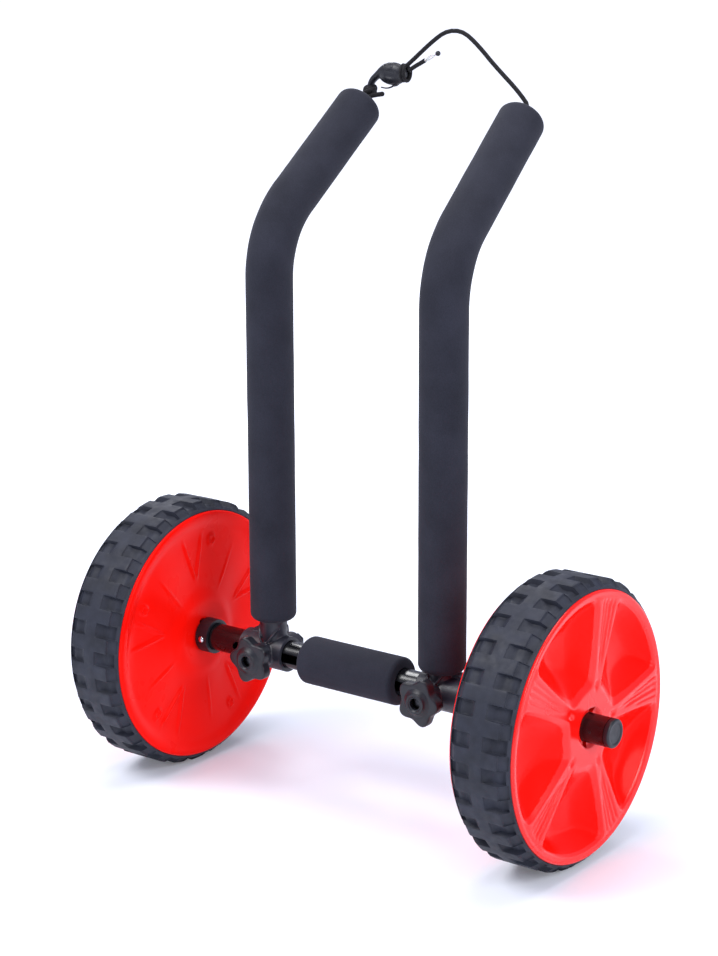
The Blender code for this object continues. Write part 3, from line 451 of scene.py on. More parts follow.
def sleeve_foam():
    """Closed-cell foam sleeve: charcoal and matt, its cut cells about a millimetre across."""
    material, tree, shader, where = new_material(
        "sleeve_foam", IOR=1.45, Specular_IOR_Level=0.2, Sheen_Weight=0.06, Sheen_Roughness=0.5)
    cells = node(tree, "ShaderNodeTexNoise", {
        "Vector": where, "Scale": 1000 / FOAM_CELL_MM, "Detail": 3, "Roughness": 0.6})
    cloudy = node(tree, "ShaderNodeTexNoise", {"Vector": where, "Scale": 1000 / FOAM_CLOUD_MM, "Detail": 4})
    both = node(tree, "ShaderNodeMath", {0: cells, 1: cloudy}, operation="ADD")
    half = node(tree, "ShaderNodeMath", {0: both, 1: 0.5}, operation="MULTIPLY")
    share = node(tree, "ShaderNodeMapRange", {"Value": half, **NOISE_MIDDLE})
    node(tree, "ShaderNodeMix", {0: share, 6: linear("#1f2028"), 7: linear("#30313b")}, 2,
         shader.inputs["Base Color"], data_type="RGBA")
    node(tree, "ShaderNodeMapRange", {"Value": cells, **NOISE_MIDDLE, "To Min": 0.82, "To Max": 0.96},
         to=shader.inputs["Roughness"])
    node(tree, "ShaderNodeBump", {"Height": cells, "Strength": 0.5, "Distance": 0.0004},
         to=shader.inputs["Normal"])
    return material


def powder_coat():
    """Black powder coat on steel tube: satin, with the faint ripple that the powder leaves."""
    return clouded("black_powder_coat", roughness=(9, 0.18, 0.28), grain=(1.8, 2, 0.18, 0.0002),
                   Base_Color=linear("#0e0e11"), IOR=1.5)


def black_nylon(name, dark, light):
    """Moulded glass-filled nylon: near black, satin, with a fine spark-eroded mould grain."""
    return clouded(name, tone=(12, 3, dark, light), roughness=(5, 0.34, 0.48),
                   grain=(0.9, 2, 0.25, 0.00015), IOR=1.53, Specular_IOR_Level=0.4)


def zinc_plate():
    """Bright zinc plate on steel: mirror-like, with faint turning marks."""
    return clouded("zinc_plated_steel", roughness=(2, 0.16, 0.30), Base_Color=linear("#c9ccd0"), Metallic=1.0)


def black_oxide():
    """Black oxide on steel: dark metal with worn, slightly lighter patches."""
    return clouded("black_oxide_steel", tone=(3, 4, "#2b2b2e", "#4a4a4e"), roughness=(2, 0.28, 0.45),
                   Metallic=1.0)


def turned_brass():
    """Turned brass of the threaded insert, darkened nearly to black as painted shade inside the knob's eye.
    """
    return clouded("brass_painted_shade", roughness=(1.5, 0.35, 0.50), Base_Color=linear("#1a1611"), Metallic=1.0)


def braided_sheath():
    """Braided polyester over rubber: strands cross in diamonds about a millimetre wide."""
    material, tree, shader, _ = new_material(
        "braided_sheath", IOR=1.5, Specular_IOR_Level=0.3, Sheen_Weight=0.05, Roughness=0.8)
    turns = node(tree, "ShaderNodeSeparateXYZ", {0: node(tree, "ShaderNodeUVMap", uv_map="UVMap")})
    metres = turns.node.outputs["Y"]
    strands = []
    for way in (1, -1):
        turned = node(tree, "ShaderNodeMath", {0: turns, 1: way * BRAID_ROUND}, operation="MULTIPLY")
        run = node(tree, "ShaderNodeMath", {0: metres, 1: BRAID_A_METRE, 2: turned}, operation="MULTIPLY_ADD")
        wave = node(tree, "ShaderNodeMath", {0: run, 1: 2 * pi}, operation="MULTIPLY")
        strands.append(node(tree, "ShaderNodeMath", {0: wave}, operation="SINE"))
    weave = node(tree, "ShaderNodeMath", {0: strands[0], 1: strands[1]}, operation="MULTIPLY")
    height = node(tree, "ShaderNodeMapRange", {"Value": weave, "From Min": -1.0, "From Max": 1.0})
    node(tree, "ShaderNodeMix", {0: height, 6: linear("#060507"), 7: linear("#1b191d")}, 2,
         shader.inputs["Base Color"], data_type="RGBA")
    node(tree, "ShaderNodeBump", {"Height": height, "Strength": 0.6, "Distance": 0.0004},
         to=shader.inputs["Normal"])
    return material


def bare_core():
    """Bare rubber strands at the cut end: whitish and slightly see-through."""
    return clouded("rubber_core", tone=(0.6, 3, "#c9c8c4", "#efeeea"), IOR=1.5, Roughness=0.45,
                   Subsurface_Weight=0.2, Subsurface_Scale=0.001)


MATERIALS = {
    "tyre_rubber": tyre_rubber(),
    "red_plastic": red_polyethylene("polished_red_polyethylene", 0.42, 0.20),
    # These two copies of the red have their reflection turned down: painted shade on the scoops and on the
    # inner face
    "red_scoop_painted_shade": red_polyethylene("red_polyethylene_scoop_painted_shade", 0.07, 0.14),
    "red_inside_painted_shade": red_polyethylene("red_polyethylene_inside_painted_shade", 0.06, 0.26),
    "black_foam": sleeve_foam(),
    "black_tube": powder_coat(),
    "black_plastic": black_nylon("black_nylon", "#111218", "#1b1c24"),
    # Lighter copy of the black nylon for the clamps: painted light on their ribs and webs
    "clamp_nylon_painted_light": black_nylon("black_nylon_painted_light", "#22222a", "#30303a"),
    "zinc_steel": zinc_plate(),
    "black_steel": black_oxide(),
    "brass": turned_brass(),
    "black_cord": braided_sheath(),
    "clear_core": bare_core(),
}


# Modelling steps


def only(obj):
    """Selects one object and nothing else."""
    bpy.ops.object.select_all(action="DESELECT")
    obj.select_set(True)
    bpy.context.view_layer.objects.active = obj


def edit(obj):
    """Opens one object in edit mode."""
    only(obj)
    bpy.ops.object.mode_set(mode="EDIT")


def leave():
    """Goes back to object mode."""
    bpy.ops.object.mode_set(mode="OBJECT")


def started(name):
    """Names the primitive that was just added."""
    obj = bpy.context.object
    obj.name = obj.data.name = name
    return obj


def select(obj, kind, test):
    """In edit mode, selects each FACE or EDGE whose middle passes the test."""
    bpy.ops.mesh.select_mode(type=kind)
    bpy.ops.mesh.select_all(action="DESELECT")
    bm = bmesh.from_edit_mesh(obj.data)
    for item in bm.faces if kind == "FACE" else bm.edges:
        item.select = test(sum((corner.co for corner in item.verts), Vector()) / len(item.verts))
    bm.select_flush_mode()
    bmesh.update_edit_mesh(obj.data)


def lathe(name, profile, steps, axis=(1, 0, 0), closed=True):
    """Draws (height, radius) points by extruding one vertex, then spins them round an axis."""
    along = Vector(axis)
    out = Vector((0, 0, 1)) if abs(along.z) < 0.9 else Vector((1, 0, 0))
    points = [along * height + out * radius for height, radius in profile]
    bpy.ops.object.select_all(action="DESELECT")
    bpy.ops.mesh.primitive_plane_add(size=0.001, enter_editmode=True, location=(0, 0, 0))
    obj = started(name)
    bpy.ops.mesh.select_mode(type="VERT")
    bpy.ops.mesh.select_all(action="SELECT")
    bpy.ops.mesh.merge(type="CENTER")
    bpy.ops.transform.translate(value=points[0])
    for start, end in zip(points, points[1:]):
        bpy.ops.mesh.extrude_vertices_move(TRANSFORM_OT_translate={"value": end - start})
    if closed:
        bm = bmesh.from_edit_mesh(obj.data)
        bm.verts.ensure_lookup_table()
        bm.verts[0].select = True
        bmesh.update_edit_mesh(obj.data)
        bpy.ops.mesh.edge_face_add()
    bpy.ops.mesh.select_all(action="SELECT")
    bpy.ops.mesh.spin(steps=steps, angle=2 * pi, center=(0, 0, 0), axis=axis)
    bpy.ops.mesh.select_all(action="SELECT")
    bpy.ops.mesh.remove_doubles(threshold=0.00001)
    bpy.ops.mesh.normals_make_consistent(inside=False)
    leave()
    return obj


def ring(name, start, end, bore, radius, steps, axis=(1, 0, 0)):
    """Plain ring or tube between two heights on an axis."""
    return lathe(name, [(start, bore), (start, radius), (end, radius), (end, bore)], steps, axis)


def apply_all(obj):
    """Applies every modifier of a piece, in order."""
    only(obj)
    for step in list(obj.modifiers):
        bpy.ops.object.modifier_apply(modifier=step.name)


def bevel(obj, width, segments=3, angle=30):
    """Rounds every edge sharper than an angle in degrees."""
    step = obj.modifiers.new("rounding", "BEVEL")
    step.width = width
    step.segments = segments
    step.limit_method = "ANGLE"
    step.angle_limit = radians(angle)
    step.harden_normals = False
    apply_all(obj)


def cut(obj, *others, operation="DIFFERENCE"):
    """Cuts other solids away, or joins them on, and removes them."""
    for other in others:
        step = obj.modifiers.new("cut", "BOOLEAN")
        step.operation = operation
        step.solver = "EXACT"
        step.object = other
        apply_all(obj)
        bpy.data.objects.remove(other, do_unlink=True)


def joined(obj, *others):
    """Makes the others part of one object's mesh."""
    only(obj)
    for other in others:
        other.select_set(True)
    bpy.ops.object.join()
    return obj


def moulded(obj, voxel):
    """Gives joined solids one skin, with the soft inner corners of a moulding."""
    step = obj.modifiers.new("remesh", "REMESH")
    step.mode = "VOXEL"
    step.voxel_size = voxel
    step = obj.modifiers.new("moulding_radii", "SMOOTH")
    step.iterations = 5
    step.factor = 0.5
    apply_all(obj)


def cylinder(name, start, end, radius, sides=48):
    """A round bar between two points."""
    start, end = Vector(start), Vector(end)
    run = end - start
    bpy.ops.object.select_all(action="DESELECT")
    bpy.ops.mesh.primitive_cylinder_add(
        vertices=sides, radius=radius, depth=run.length, location=(start + end) / 2,
        rotation=run.to_track_quat("Z", "Y").to_euler(),
    )
    obj = started(name)
    bpy.ops.object.transform_apply()
    return obj


def ball(name, centre, size, segments=32):
    """Round or egg-shaped solid with three half sizes."""
    bpy.ops.object.select_all(action="DESELECT")
    bpy.ops.mesh.primitive_uv_sphere_add(
        segments=segments, ring_count=segments // 2, radius=1, location=centre)
    obj = started(name)
    obj.scale = size
    bpy.ops.object.transform_apply()
    return obj


def moved(obj, place):
    """Moves a mesh by a matrix, with its object left at the origin."""
    obj.data.transform(place)
    obj.data.update()
    return obj


def at_axle(obj, x=0.0, turn=Matrix.Identity(4)):
    """Moves a piece from the origin to its place along the axle, turned first where that is given."""
    return moved(obj, Matrix.Translation(AXLE + Vector((x, 0, 0))) @ turn)


def outwards(side):
    """Turns a piece that is modelled for the right end so that it faces out on its own side."""
    return Matrix.Rotation(0.0 if SIDES[side] > 0 else pi, 4, "Z")


def smooth(obj, angle=35):
    only(obj)
    bpy.ops.object.shade_smooth_by_angle(angle=radians(angle))


def fit(obj, slot, body, *nodes, angle=35):
    """Finishes a piece: shading, material, the body that it rides on and what it stands for."""
    smooth(obj, angle)
    obj.data.materials.clear()
    obj.data.materials.append(MATERIALS[slot])
    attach(obj, body)
    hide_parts(*nodes)
    return obj


def smooth_run(knots, spacing):
    """Evenly spaced points on one smooth curve through all the knots."""
    knots = [Vector(k) for k in knots]
    ends = [2 * knots[0] - knots[1]] + knots + [2 * knots[-1] - knots[-2]]
    fine = []
    parts = 12
    for a, b, c, d in zip(ends, ends[1:], ends[2:], ends[3:]):
        for i in range(parts):
            t = i / parts
            fine.append(
                (2 * b + (c - a) * t + (2 * a - 5 * b + 4 * c - d) * t * t
                 + (3 * b - a - 3 * c + d) * t ** 3) / 2
            )
    fine.append(knots[-1])
    total = sum((q - p).length for p, q in zip(fine, fine[1:]))
    count = max(2, round(total / spacing))
    points, walked, target = [fine[0]], 0.0, total / count
    for p, q in zip(fine, fine[1:]):
        step = (q - p).length
        while step and walked + step >= target and len(points) < count:
            points.append(p.lerp(q, (target - walked) / step))
            target += total / count
        walked += step
    return points + [fine[-1]]


def tube(name, points, radii, sides=16):
    """A closed round tube along points, with a map of turns round it and metres along it."""
    points = [Vector(p) for p in points]
    if not hasattr(radii, "__len__"):
        radii = [radii] * len(points)
    bm = bmesh.new()
    layer = bm.loops.layers.uv.new("UVMap")
    across = None
    rings, lengths = [], [0.0]
    for i, point in enumerate(points):
        way = (points[min(i + 1, len(points) - 1)] - points[max(i - 1, 0)]).normalized()
        if across is None:
            across = way.orthogonal().normalized()
        across = (across - way * across.dot(way)).normalized()
        other = way.cross(across)
        if i:
            lengths.append(lengths[-1] + (point - points[i - 1]).length)
        rings.append([
            bm.verts.new(point + (across * cos(a) + other * sin(a)) * radii[i])
            for a in (2 * pi * k / sides for k in range(sides))
        ])
    for i, (low_ring, high_ring) in enumerate(zip(rings, rings[1:])):
        for k in range(sides):
            n = (k + 1) % sides
            face = bm.faces.new((low_ring[k], low_ring[n], high_ring[n], high_ring[k]))
            places = [(k, i), (k + 1, i), (k + 1, i + 1), (k, i + 1)]
            for loop, (turn, step) in zip(face.loops, places):
                loop[layer].uv = (turn / sides, lengths[step])
    bm.faces.new(rings[0][::-1])
    bm.faces.new(rings[-1])
    mesh = bpy.data.meshes.new(name)
    bmesh.ops.recalc_face_normals(bm, faces=bm.faces)
    bm.to_mesh(mesh)
    bm.free()
    obj = bpy.data.objects.new(name, mesh)
    bpy.context.scene.collection.objects.link(obj)
    return obj


# Camera, light and floor


def camera():
    """The photograph's camera, fitted to both wheels, the axle and the arms."""
    a, e, roll = CAMERA_AZIMUTH, CAMERA_ELEVATION, CAMERA_ROLL
    back = Vector((sin(a) * cos(e), -cos(a) * cos(e), sin(e)))
    level = Vector((cos(a), sin(a), 0))
    upright = back.cross(level)
    right = level * cos(roll) + upright * sin(roll)
    up = upright * cos(roll) - level * sin(roll)
    data = bpy.data.cameras.new("camera")
    data.sensor_fit = "AUTO"
    data.sensor_width = SENSOR
    data.lens = FOCAL_PX / max(PHOTO_SIZE) * SENSOR
    data.clip_start, data.clip_end = 0.05, 50
    obj = bpy.data.objects.new("camera", data)
    bpy.context.scene.collection.objects.link(obj)
    turn = Matrix((right, up, back)).transposed()
    obj.matrix_world = Matrix.Translation(CAMERA_AT) @ turn.to_4x4()
    bpy.context.scene.camera = obj


def softbox(name, place, target, size, power):
    """Rectangular lamp that faces a point."""
    data = bpy.data.lights.new(name, "AREA")
    data.shape = "RECTANGLE"
    data.size, data.size_y = size
    data.energy = power
    obj = bpy.data.objects.new(name, data)
    bpy.context.scene.collection.objects.link(obj)
    way = Vector(target) - Vector(place)
    obj.matrix_world = Matrix.Translation(place) @ way.to_track_quat("-Z", "Y").to_matrix().to_4x4()


def studio():
    """Softboxes on four sides and a pale floor, both white to the camera further out."""
    scene = bpy.context.scene
    scene.view_settings.view_transform = "Standard"
    for name, setting in SOFTBOXES.items():
        softbox(name, *setting)
    scene.world = bpy.data.worlds.new("studio")
    scene.world.use_nodes = True
    tree = scene.world.node_tree
    tree.nodes.clear()
    seen = node(tree, "ShaderNodeMath", {
        0: node(tree, "ShaderNodeLightPath", output="Is Camera Ray"),
        1: node(tree, "ShaderNodeLightPath", output="Is Transmission Ray"),
    }, operation="MAXIMUM")
    lit = node(tree, "ShaderNodeBackground", {"Color": linear("#dfe4ff"), "Strength": WORLD_LIGHT})
    shown = node(tree, "ShaderNodeBackground", {"Color": linear("#ffffff"), "Strength": 1.0})
    both = node(tree, "ShaderNodeMixShader", {0: seen, 1: lit, 2: shown})
    node(tree, "ShaderNodeOutputWorld", {"Surface": both})
    bpy.ops.object.select_all(action="DESELECT")
    bpy.ops.mesh.primitive_plane_add(size=FLOOR_SIZE, location=(0, 0, 0))
    floor = started("floor")
    floor.data.materials.append(white_floor())


def white_floor():
    """Matt white paper, which glows more and more for the camera away from the middle."""
    material, tree, shader, where = new_material(
        "white_paper_floor", Base_Color=linear("#e8ecf5"), Roughness=0.9, Specular_IOR_Level=0.1)
    seen = node(tree, "ShaderNodeMath", {
        0: node(tree, "ShaderNodeLightPath", output="Is Camera Ray"),
        1: node(tree, "ShaderNodeLightPath", output="Is Glossy Ray"),
    }, operation="MAXIMUM")
    away = node(tree, "ShaderNodeVectorMath", {0: where}, "Value", operation="LENGTH")
    fill = node(tree, "ShaderNodeMapRange", {"Value": away, **FLOOR_GLOW})
    glow = node(tree, "ShaderNodeEmission", {"Color": linear("#ffffff"), "Strength": fill})
    plain = shader.outputs[0]
    plus = node(tree, "ShaderNodeAddShader", {0: plain, 1: glow})
    node(tree, "ShaderNodeMixShader", {0: seen, 1: plain, 2: plus},
         to=tree.nodes["Material Output"].inputs["Surface"])
    return material


# Wheels


def sink(obj, depth_at):
    """Moves the vertices of the selected faces straight towards the axle, down to the tyre's wall."""
    bm = bmesh.from_edit_mesh(obj.data)
    for vertex in {v for face in bm.faces if face.select for v in face.verts}:
        radius = hypot(vertex.co.y, vertex.co.z)
        share = max(radius - depth_at(vertex.co), POCKET_FLOOR_R) / radius
        vertex.co.y, vertex.co.z = vertex.co.y * share, vertex.co.z * share
    bmesh.update_edit_mesh(obj.data)


def tread_pockets(obj, phase):
    """Ramped pockets and shoulder notches, sunk into a plain tyre."""
    pitch = 2 * pi / TREAD_PITCHES

    def steps_from_pocket(place):
        """Place within one pitch, in steps from the middle of a pocket."""
        angle = atan2(-place.y, place.z) - phase
        offset = (angle / pitch + 0.5) % 1 - 0.5
        return abs(offset) * STEPS_A_PITCH

    def on_tread(place, start, end):
        return start < abs(place.x) < end and hypot(place.y, place.z) > SHOULDER_R

    def in_pocket(place):
        return on_tread(place, POCKET_FROM, POCKET_TO) and steps_from_pocket(place) < POCKET_HALF_STEPS

    def in_notch(place):
        return on_tread(place, NOTCH_FROM, NOTCH_TO) and steps_from_pocket(place) > NOTCH_FROM_STEP

    def pocket_depth(place):
        """Grows along the ramp, away from the middle of the tyre."""
        way_down = min((abs(place.x) - POCKET_FROM) / POCKET_RAMP, 1)
        return POCKET_SHALLOW + (POCKET_DEEP - POCKET_SHALLOW) * way_down

    edit(obj)
    select(obj, "FACE", in_pocket)
    bpy.ops.mesh.inset(thickness=POCKET_LIP, depth=0)
    sink(obj, pocket_depth)
    select(obj, "FACE", in_notch)
    bpy.ops.mesh.inset(thickness=NOTCH_LIP, depth=0)
    sink(obj, lambda place: NOTCH_DEPTH)
    leave()


def tyre(side):
    """Rubber band with two rows of ramped pockets, notches in its shoulders and rounded edges."""
    profile = TYRE_SECTION + [(-height, radius) for height, radius in reversed(TYRE_SECTION)]
    obj = lathe(f"{side}_tyre_tread", profile, TREAD_PITCHES * STEPS_A_PITCH)
    moved(obj, Matrix.Rotation(TREAD_PHASE[side], 4, "X"))
    tread_pockets(obj, TREAD_PHASE[side])
    bevel(obj, 0.0004, 2, 40)
    at_axle(obj, SIDES[side] * WHEEL_X)
    fit(obj, "tyre_rubber", f"{side}_wheel", f"{side}_tyre", angle=38)


def ease(value):
    """Smooth step from 0 to 1."""
    value = min(max(value, 0.0), 1.0)
    return value * value * (3 - 2 * value)


def fade(radius, start, full):
    """Grows softly from 0 at one radius to 1 at another."""
    return ease((radius - start) / (full - start))


def within(radius, inner, outer):
    """1 between a form's two ends, and softly down to 0 beyond them."""
    return fade(radius, *inner) * fade(radius, *outer)


def fold(distance, width):
    """Cross-section of one soft crease: 1 on its line, 0 beyond its width."""
    return ease(1 - abs(distance) / width)


def angle_from(angle, start, pitch=2 * pi / SPOKES):
    """Signed angle to the nearest of the five places that start at an angle."""
    return (angle - start + pitch / 2) % pitch - pitch / 2


def outer_relief(radius, angle):
    """How deep the rim's outer face lies under its flat, in metres."""
    from_spoke = angle_from(angle, SPOKE_ANGLE)
    share = (radius - SCOOP_TIP_R) / (SCOOP_RIM_R - SCOOP_TIP_R)
    spoke_half = SPOKE_HALF_TIP + (SPOKE_HALF_RIM - SPOKE_HALF_TIP) * max(share, 0) ** SPOKE_FLARE
    beside = radius * sin(abs(from_spoke)) - spoke_half
    walls = (beside, radius - SCOOP_TIP_R, (SCOOP_RIM_R - radius) * SCOOP_RIM_STEEPNESS)
    inside = -SCOOP_ROUNDING * log(sum(exp(-wall / SCOOP_ROUNDING) for wall in walls))
    scoop = 0.0
    if inside > 0:
        slope = sin(min(inside / SCOOP_WALL, 1.0) * pi / 2)
        floor = SCOOP_TIP_SHARE + (1 - SCOOP_TIP_SHARE) * ease(share * SCOOP_DEEPENS)
        scoop = SCOOP_DEPTH * slope * floor
    across = radius * sin(from_spoke)
    creased = SPOKE_VALLEY * fold(across, spoke_half * VALLEY_SHARE) * fade(radius, *VALLEY_RADII)
    for place, start in SPOKE_CREASES:
        line = fold(across - place * spoke_half, CREASE_HALF)
        creased += CREASE_DEPTH * line * fade(radius, start, start + CREASE_GROWS)
    creased *= fade(radius, *CREASE_END_RADII)
    dimple = fold(across, DIMPLE_HALVES[0]) * fold(radius - DIMPLE_R, DIMPLE_HALVES[1])
    seat = SEAT_DEPTH * fade(radius, *SEAT_RADII)
    lip = LIP_STEP * fade(radius, *LIP_STEP_RADII)
    return scoop + creased + DIMPLE_DEPTH * dimple + seat + lip


def inner_relief(radius, angle):
    """How deep the rim's inner face lies under its flat, in metres."""
    dish = DISH_DEPTH * within(radius, *DISH_RADII)
    wave = WAVE_DEPTH * (1 + cos(SPOKES * (angle - FOLD_ANGLE))) / 2 * within(radius, *WAVE_RADII)
    across = radius * sin(angle_from(angle, FOLD_ANGLE))
    from_fork = abs(abs(across) - max(radius - FOLD_FORK_R, 0) * FOLD_FORK_SLOPE)
    forked = FOLD_HEIGHT * fold(from_fork, FOLD_HALF) * within(radius, *FOLD_RADII)
    from_ridge = radius * sin(angle_from(angle, RIDGE_ANGLE))
    ridge = RIDGE_HEIGHT * fold(from_ridge, RIDGE_HALF) * within(radius, *RIDGE_RADII)
    ring_turn = angle_from(angle, RING_ANGLE)
    from_ring = hypot(radius * cos(ring_turn) - RING_AT_R, radius * sin(ring_turn)) - RING_R
    return dish + wave - forked - ridge - RING_HEIGHT * fold(from_ring, RING_HALF)


def in_scoop(face):
    """Whether a face of the rim belongs to the slopes or the floor of a scoop."""
    x, y, z = face.center
    sunk = 0 < x < WHEEL_HALF - SCOOP_FROM_DEPTH
    return sunk and hypot(y, z) < SCOOP_RIM_R and face.normal.x > SCOOP_FACING


def rim(side):
    """Blow-moulded wheel body: five scoops on its outer face, faint folds on its inner one."""
    reach = LIP_R - BORE_R
    outer = [(WHEEL_HALF, BORE_R + reach * i / OUTER_ROWS) for i in range(OUTER_ROWS + 1)]
    inner = [(-WHEEL_HALF, LIP_R - reach * i / INNER_ROWS) for i in range(INNER_ROWS + 1)]
    edge = [(WHEEL_HALF - step, radius) for step, radius in RIM_EDGE]
    profile = outer + edge + [(-x, radius) for x, radius in reversed(edge)] + inner
    obj = lathe(f"{side}_wheel_body", profile, RIM_STEPS)
    for vertex in obj.data.vertices:
        place = vertex.co
        radius, angle = hypot(place.y, place.z), atan2(place.z, place.y)
        if radius > LIP_R + 0.0002:
            continue
        if place.x > 0:
            place.x -= outer_relief(radius, angle)
        else:
            place.x += inner_relief(radius, angle)
    cutters = []
    for angle in KEY_ANGLES:
        y, z = KEY_AT_R * cos(angle), KEY_AT_R * sin(angle)
        cutters.append(cylinder("hub_key", (-CUTTER_REACH, y, z), (CUTTER_REACH, y, z), KEY_R, 24))
    y, z = VENT_AT_R * cos(VENT_ANGLE), VENT_AT_R * sin(VENT_ANGLE)
    cutters.append(cylinder("vent", (-CUTTER_REACH, y, z), (VENT_FLOOR_X, y, z), VENT_R, 20))
    cut(obj, *cutters)
    faces = obj.data.polygons
    # The inner face and the scoops get the red copies whose reflection is turned down, as painted shade
    inside = [face.index for face in faces if face.center.x < -WHEEL_HALF + INSIDE_DEPTH]
    scooped = [face.index for face in faces if in_scoop(face)]
    at_axle(obj, SIDES[side] * WHEEL_X, outwards(side))
    fit(obj, "red_plastic", f"{side}_wheel", f"{side}_rim", angle=50)
    for place, (name, indices) in enumerate((("red_inside_painted_shade", inside), ("red_scoop_painted_shade", scooped)), 1):
        obj.data.materials.append(MATERIALS[name])
        for index in indices:
            obj.data.polygons[index].material_index = place


# Axle and what is fixed to it


def axle():
    """Tube with a slot on each side for the clamp bolts, and holes for the four spring buttons."""
    bar = ring("axle_bar", -AXLE_HALF, AXLE_HALF, TUBE_R - AXLE_WALL, TUBE_R, 96)
    reach = TUBE_CUTTER_REACH
    for sign in (-1, 1):
        first, last = sign * (SLOT_INNER_X + SLOT_HALF_HEIGHT), sign * (SLOT_OUTER_X - SLOT_HALF_HEIGHT)
        bpy.ops.object.select_all(action="DESELECT")
        bpy.ops.mesh.primitive_cube_add(size=1, location=((first + last) / 2, 0, 0))
        slot = started("slot")
        slot.scale = (abs(last - first), 2 * reach, 2 * SLOT_HALF_HEIGHT)
        bpy.ops.object.transform_apply()
        slot_ends = [
            cylinder("slot_end", (x, -reach, 0), (x, reach, 0), SLOT_HALF_HEIGHT, 32)
            for x in (first, last)
        ]
        button_holes = [
            cylinder("button_hole", (sign * x, front, 0), (sign * x, back, 0), BUTTON_R + CLEARANCE, 32)
            for x, front, back in ((COLLAR_X, -reach, 0), (OUTER_BUTTON_X, 0, reach))
        ]
        cut(bar, slot, *slot_ends, *button_holes)
    bevel(bar, 0.0003, 2, 40)
    at_axle(bar)
    fit(bar, "black_tube", "root", "axle_tube")


def end_cap(side):
    """Plug with a flange as wide as the tube and a slightly hollow face."""
    flange_x = AXLE_HALF + GAP
    stem_x, stem_r = CAP_STEM
    profile = [(CAP_HOLLOW[0], 0.0), CAP_HOLLOW]
    profile += [(CAP_FACE_X, radius) for radius in CAP_FACE_RADII]
    profile += [(CAP_EDGE_X, TUBE_R), (flange_x, TUBE_R), (flange_x, stem_r), CAP_STEM, (stem_x, 0.0)]
    obj = lathe(f"{side}_tube_plug", profile, 64, closed=False)
    bevel(obj, 0.0004, 3, 30)
    at_axle(obj, 0.0, outwards(side))
    fit(obj, "black_plastic", "root", f"{side}_end_cap")


def stop_collar(side):
    """Ring between wheel and arm, with a hole that its spring button clicks into."""
    obj = ring(f"{side}_stop_ring", -COLLAR_HALF, COLLAR_HALF, TUBE_R + GAP, COLLAR_R, 72)
    cut(obj, cylinder("hole", (0, -COLLAR_CUTTER_REACH, 0), (0, 0, 0), BUTTON_R + CLEARANCE, 32))
    bevel(obj, 0.0006, 3, 40)
    at_axle(obj, SIDES[side] * COLLAR_X)
    fit(obj, "black_plastic", "root", f"{side}_stop_collar")


def button(side, name, x, facing, tip):
    """Domed steel pin with a wider foot inside the tube."""
    foot, top = BUTTON_FOOT
    profile = [(tip - BUTTON_DOME * (1 - sqrt(1 - row ** 2)), BUTTON_R * row) for row in BUTTON_DOME_ROWS]
    profile += [(top, BUTTON_R), (top, BUTTON_FOOT_R), (foot, BUTTON_FOOT_R), (foot, 0)]
    obj = lathe(f"{side}_{name}_pin", profile, 32, axis=(0, facing, 0), closed=False)
    at_axle(obj, SIDES[side] * x)
    fit(obj, "zinc_steel", f"{side}_{name}_button", f"{side}_{name}_button", angle=40)


def axle_padding():
    """Foam sleeve round the middle of the axle, with softly rounded ends."""
    half = (AXLE_FOAM_RIGHT - AXLE_FOAM_LEFT) / 2
    bore = TUBE_R + GAP
    rows = [half - i * 2 * half / AXLE_FOAM_ROWS for i in range(AXLE_FOAM_ROWS + 1)]
    profile = [(x, AXLE_FOAM_R) for x in rows] + [(-half, bore), (half, bore)]
    obj = lathe("axle_sleeve", profile, 96)

    def end_edge(place):
        return abs(abs(place.x) - half) < 0.0001 and hypot(place.y, place.z) > AXLE_FOAM_R - 0.0005

    round_ends(obj, end_edge)
    soften(obj, AXLE_FOAM_DENT)
    at_axle(obj, (AXLE_FOAM_LEFT + AXLE_FOAM_RIGHT) / 2)
    fit(obj, "black_foam", "root", "axle_foam", angle=60)


def round_ends(obj, end_edge):
    """Rounds the outer edges at the two ends of a foam sleeve."""
    edit(obj)
    select(obj, "EDGE", end_edge)
    bpy.ops.mesh.bevel(offset=FOAM_ROUNDING, segments=8, affect="EDGES", clamp_overlap=True)
    leave()


def soften(obj, height):
    """Slight unevenness of soft foam."""
    texture = bpy.data.textures.new("foam_dents", "CLOUDS")
    texture.noise_scale = FOAM_DENT_SPACING
    step = obj.modifiers.new("dents", "DISPLACE")
    step.texture = texture
    step.texture_coords = "LOCAL"
    step.strength = height
    step.mid_level = 0.5
    apply_all(obj)


# Arms


def arm_sweep(name, side, radius, foot, recess, sides, pieces):
    """Open wall of an arm: a circle extruded up, spun through the bend and extruded on."""
    tangent = ARM_BEND_R * tan(ARM_BEND / 2)
    bend_z = ARM_CORNER[side] - tangent
    bpy.ops.object.select_all(action="DESELECT")
    bpy.ops.mesh.primitive_circle_add(
        vertices=sides, radius=radius, location=(0, 0, foot), enter_editmode=True)
    obj = started(name)
    bpy.ops.mesh.select_mode(type="VERT")
    bpy.ops.mesh.select_all(action="SELECT")
    rise = (bend_z - foot) / pieces
    for _ in range(pieces):
        bpy.ops.mesh.extrude_region_move(TRANSFORM_OT_translate={"value": (0, 0, rise)})
    bpy.ops.mesh.spin(steps=18, angle=ARM_BEND, center=(0, ARM_BEND_R, bend_z), axis=(1, 0, 0))
    rest = ARM_REACH[side] - recess - tangent
    parts = max(2, round(rest / rise))
    for _ in range(parts):
        bpy.ops.mesh.extrude_region_move(TRANSFORM_OT_translate={"value": LEAN * rest / parts})
    bpy.ops.mesh.select_all(action="SELECT")
    bpy.ops.mesh.normals_make_consistent(inside=False)
    leave()
    bpy.ops.object.transform_apply()
    return obj


def at_arm(obj, side):
    """Turns an arm's piece about the upright and moves it to the arm's place on the axle."""
    return at_axle(obj, ARM_X[side], Matrix.Rotation(ARM_TURN[side], 4, "Z"))


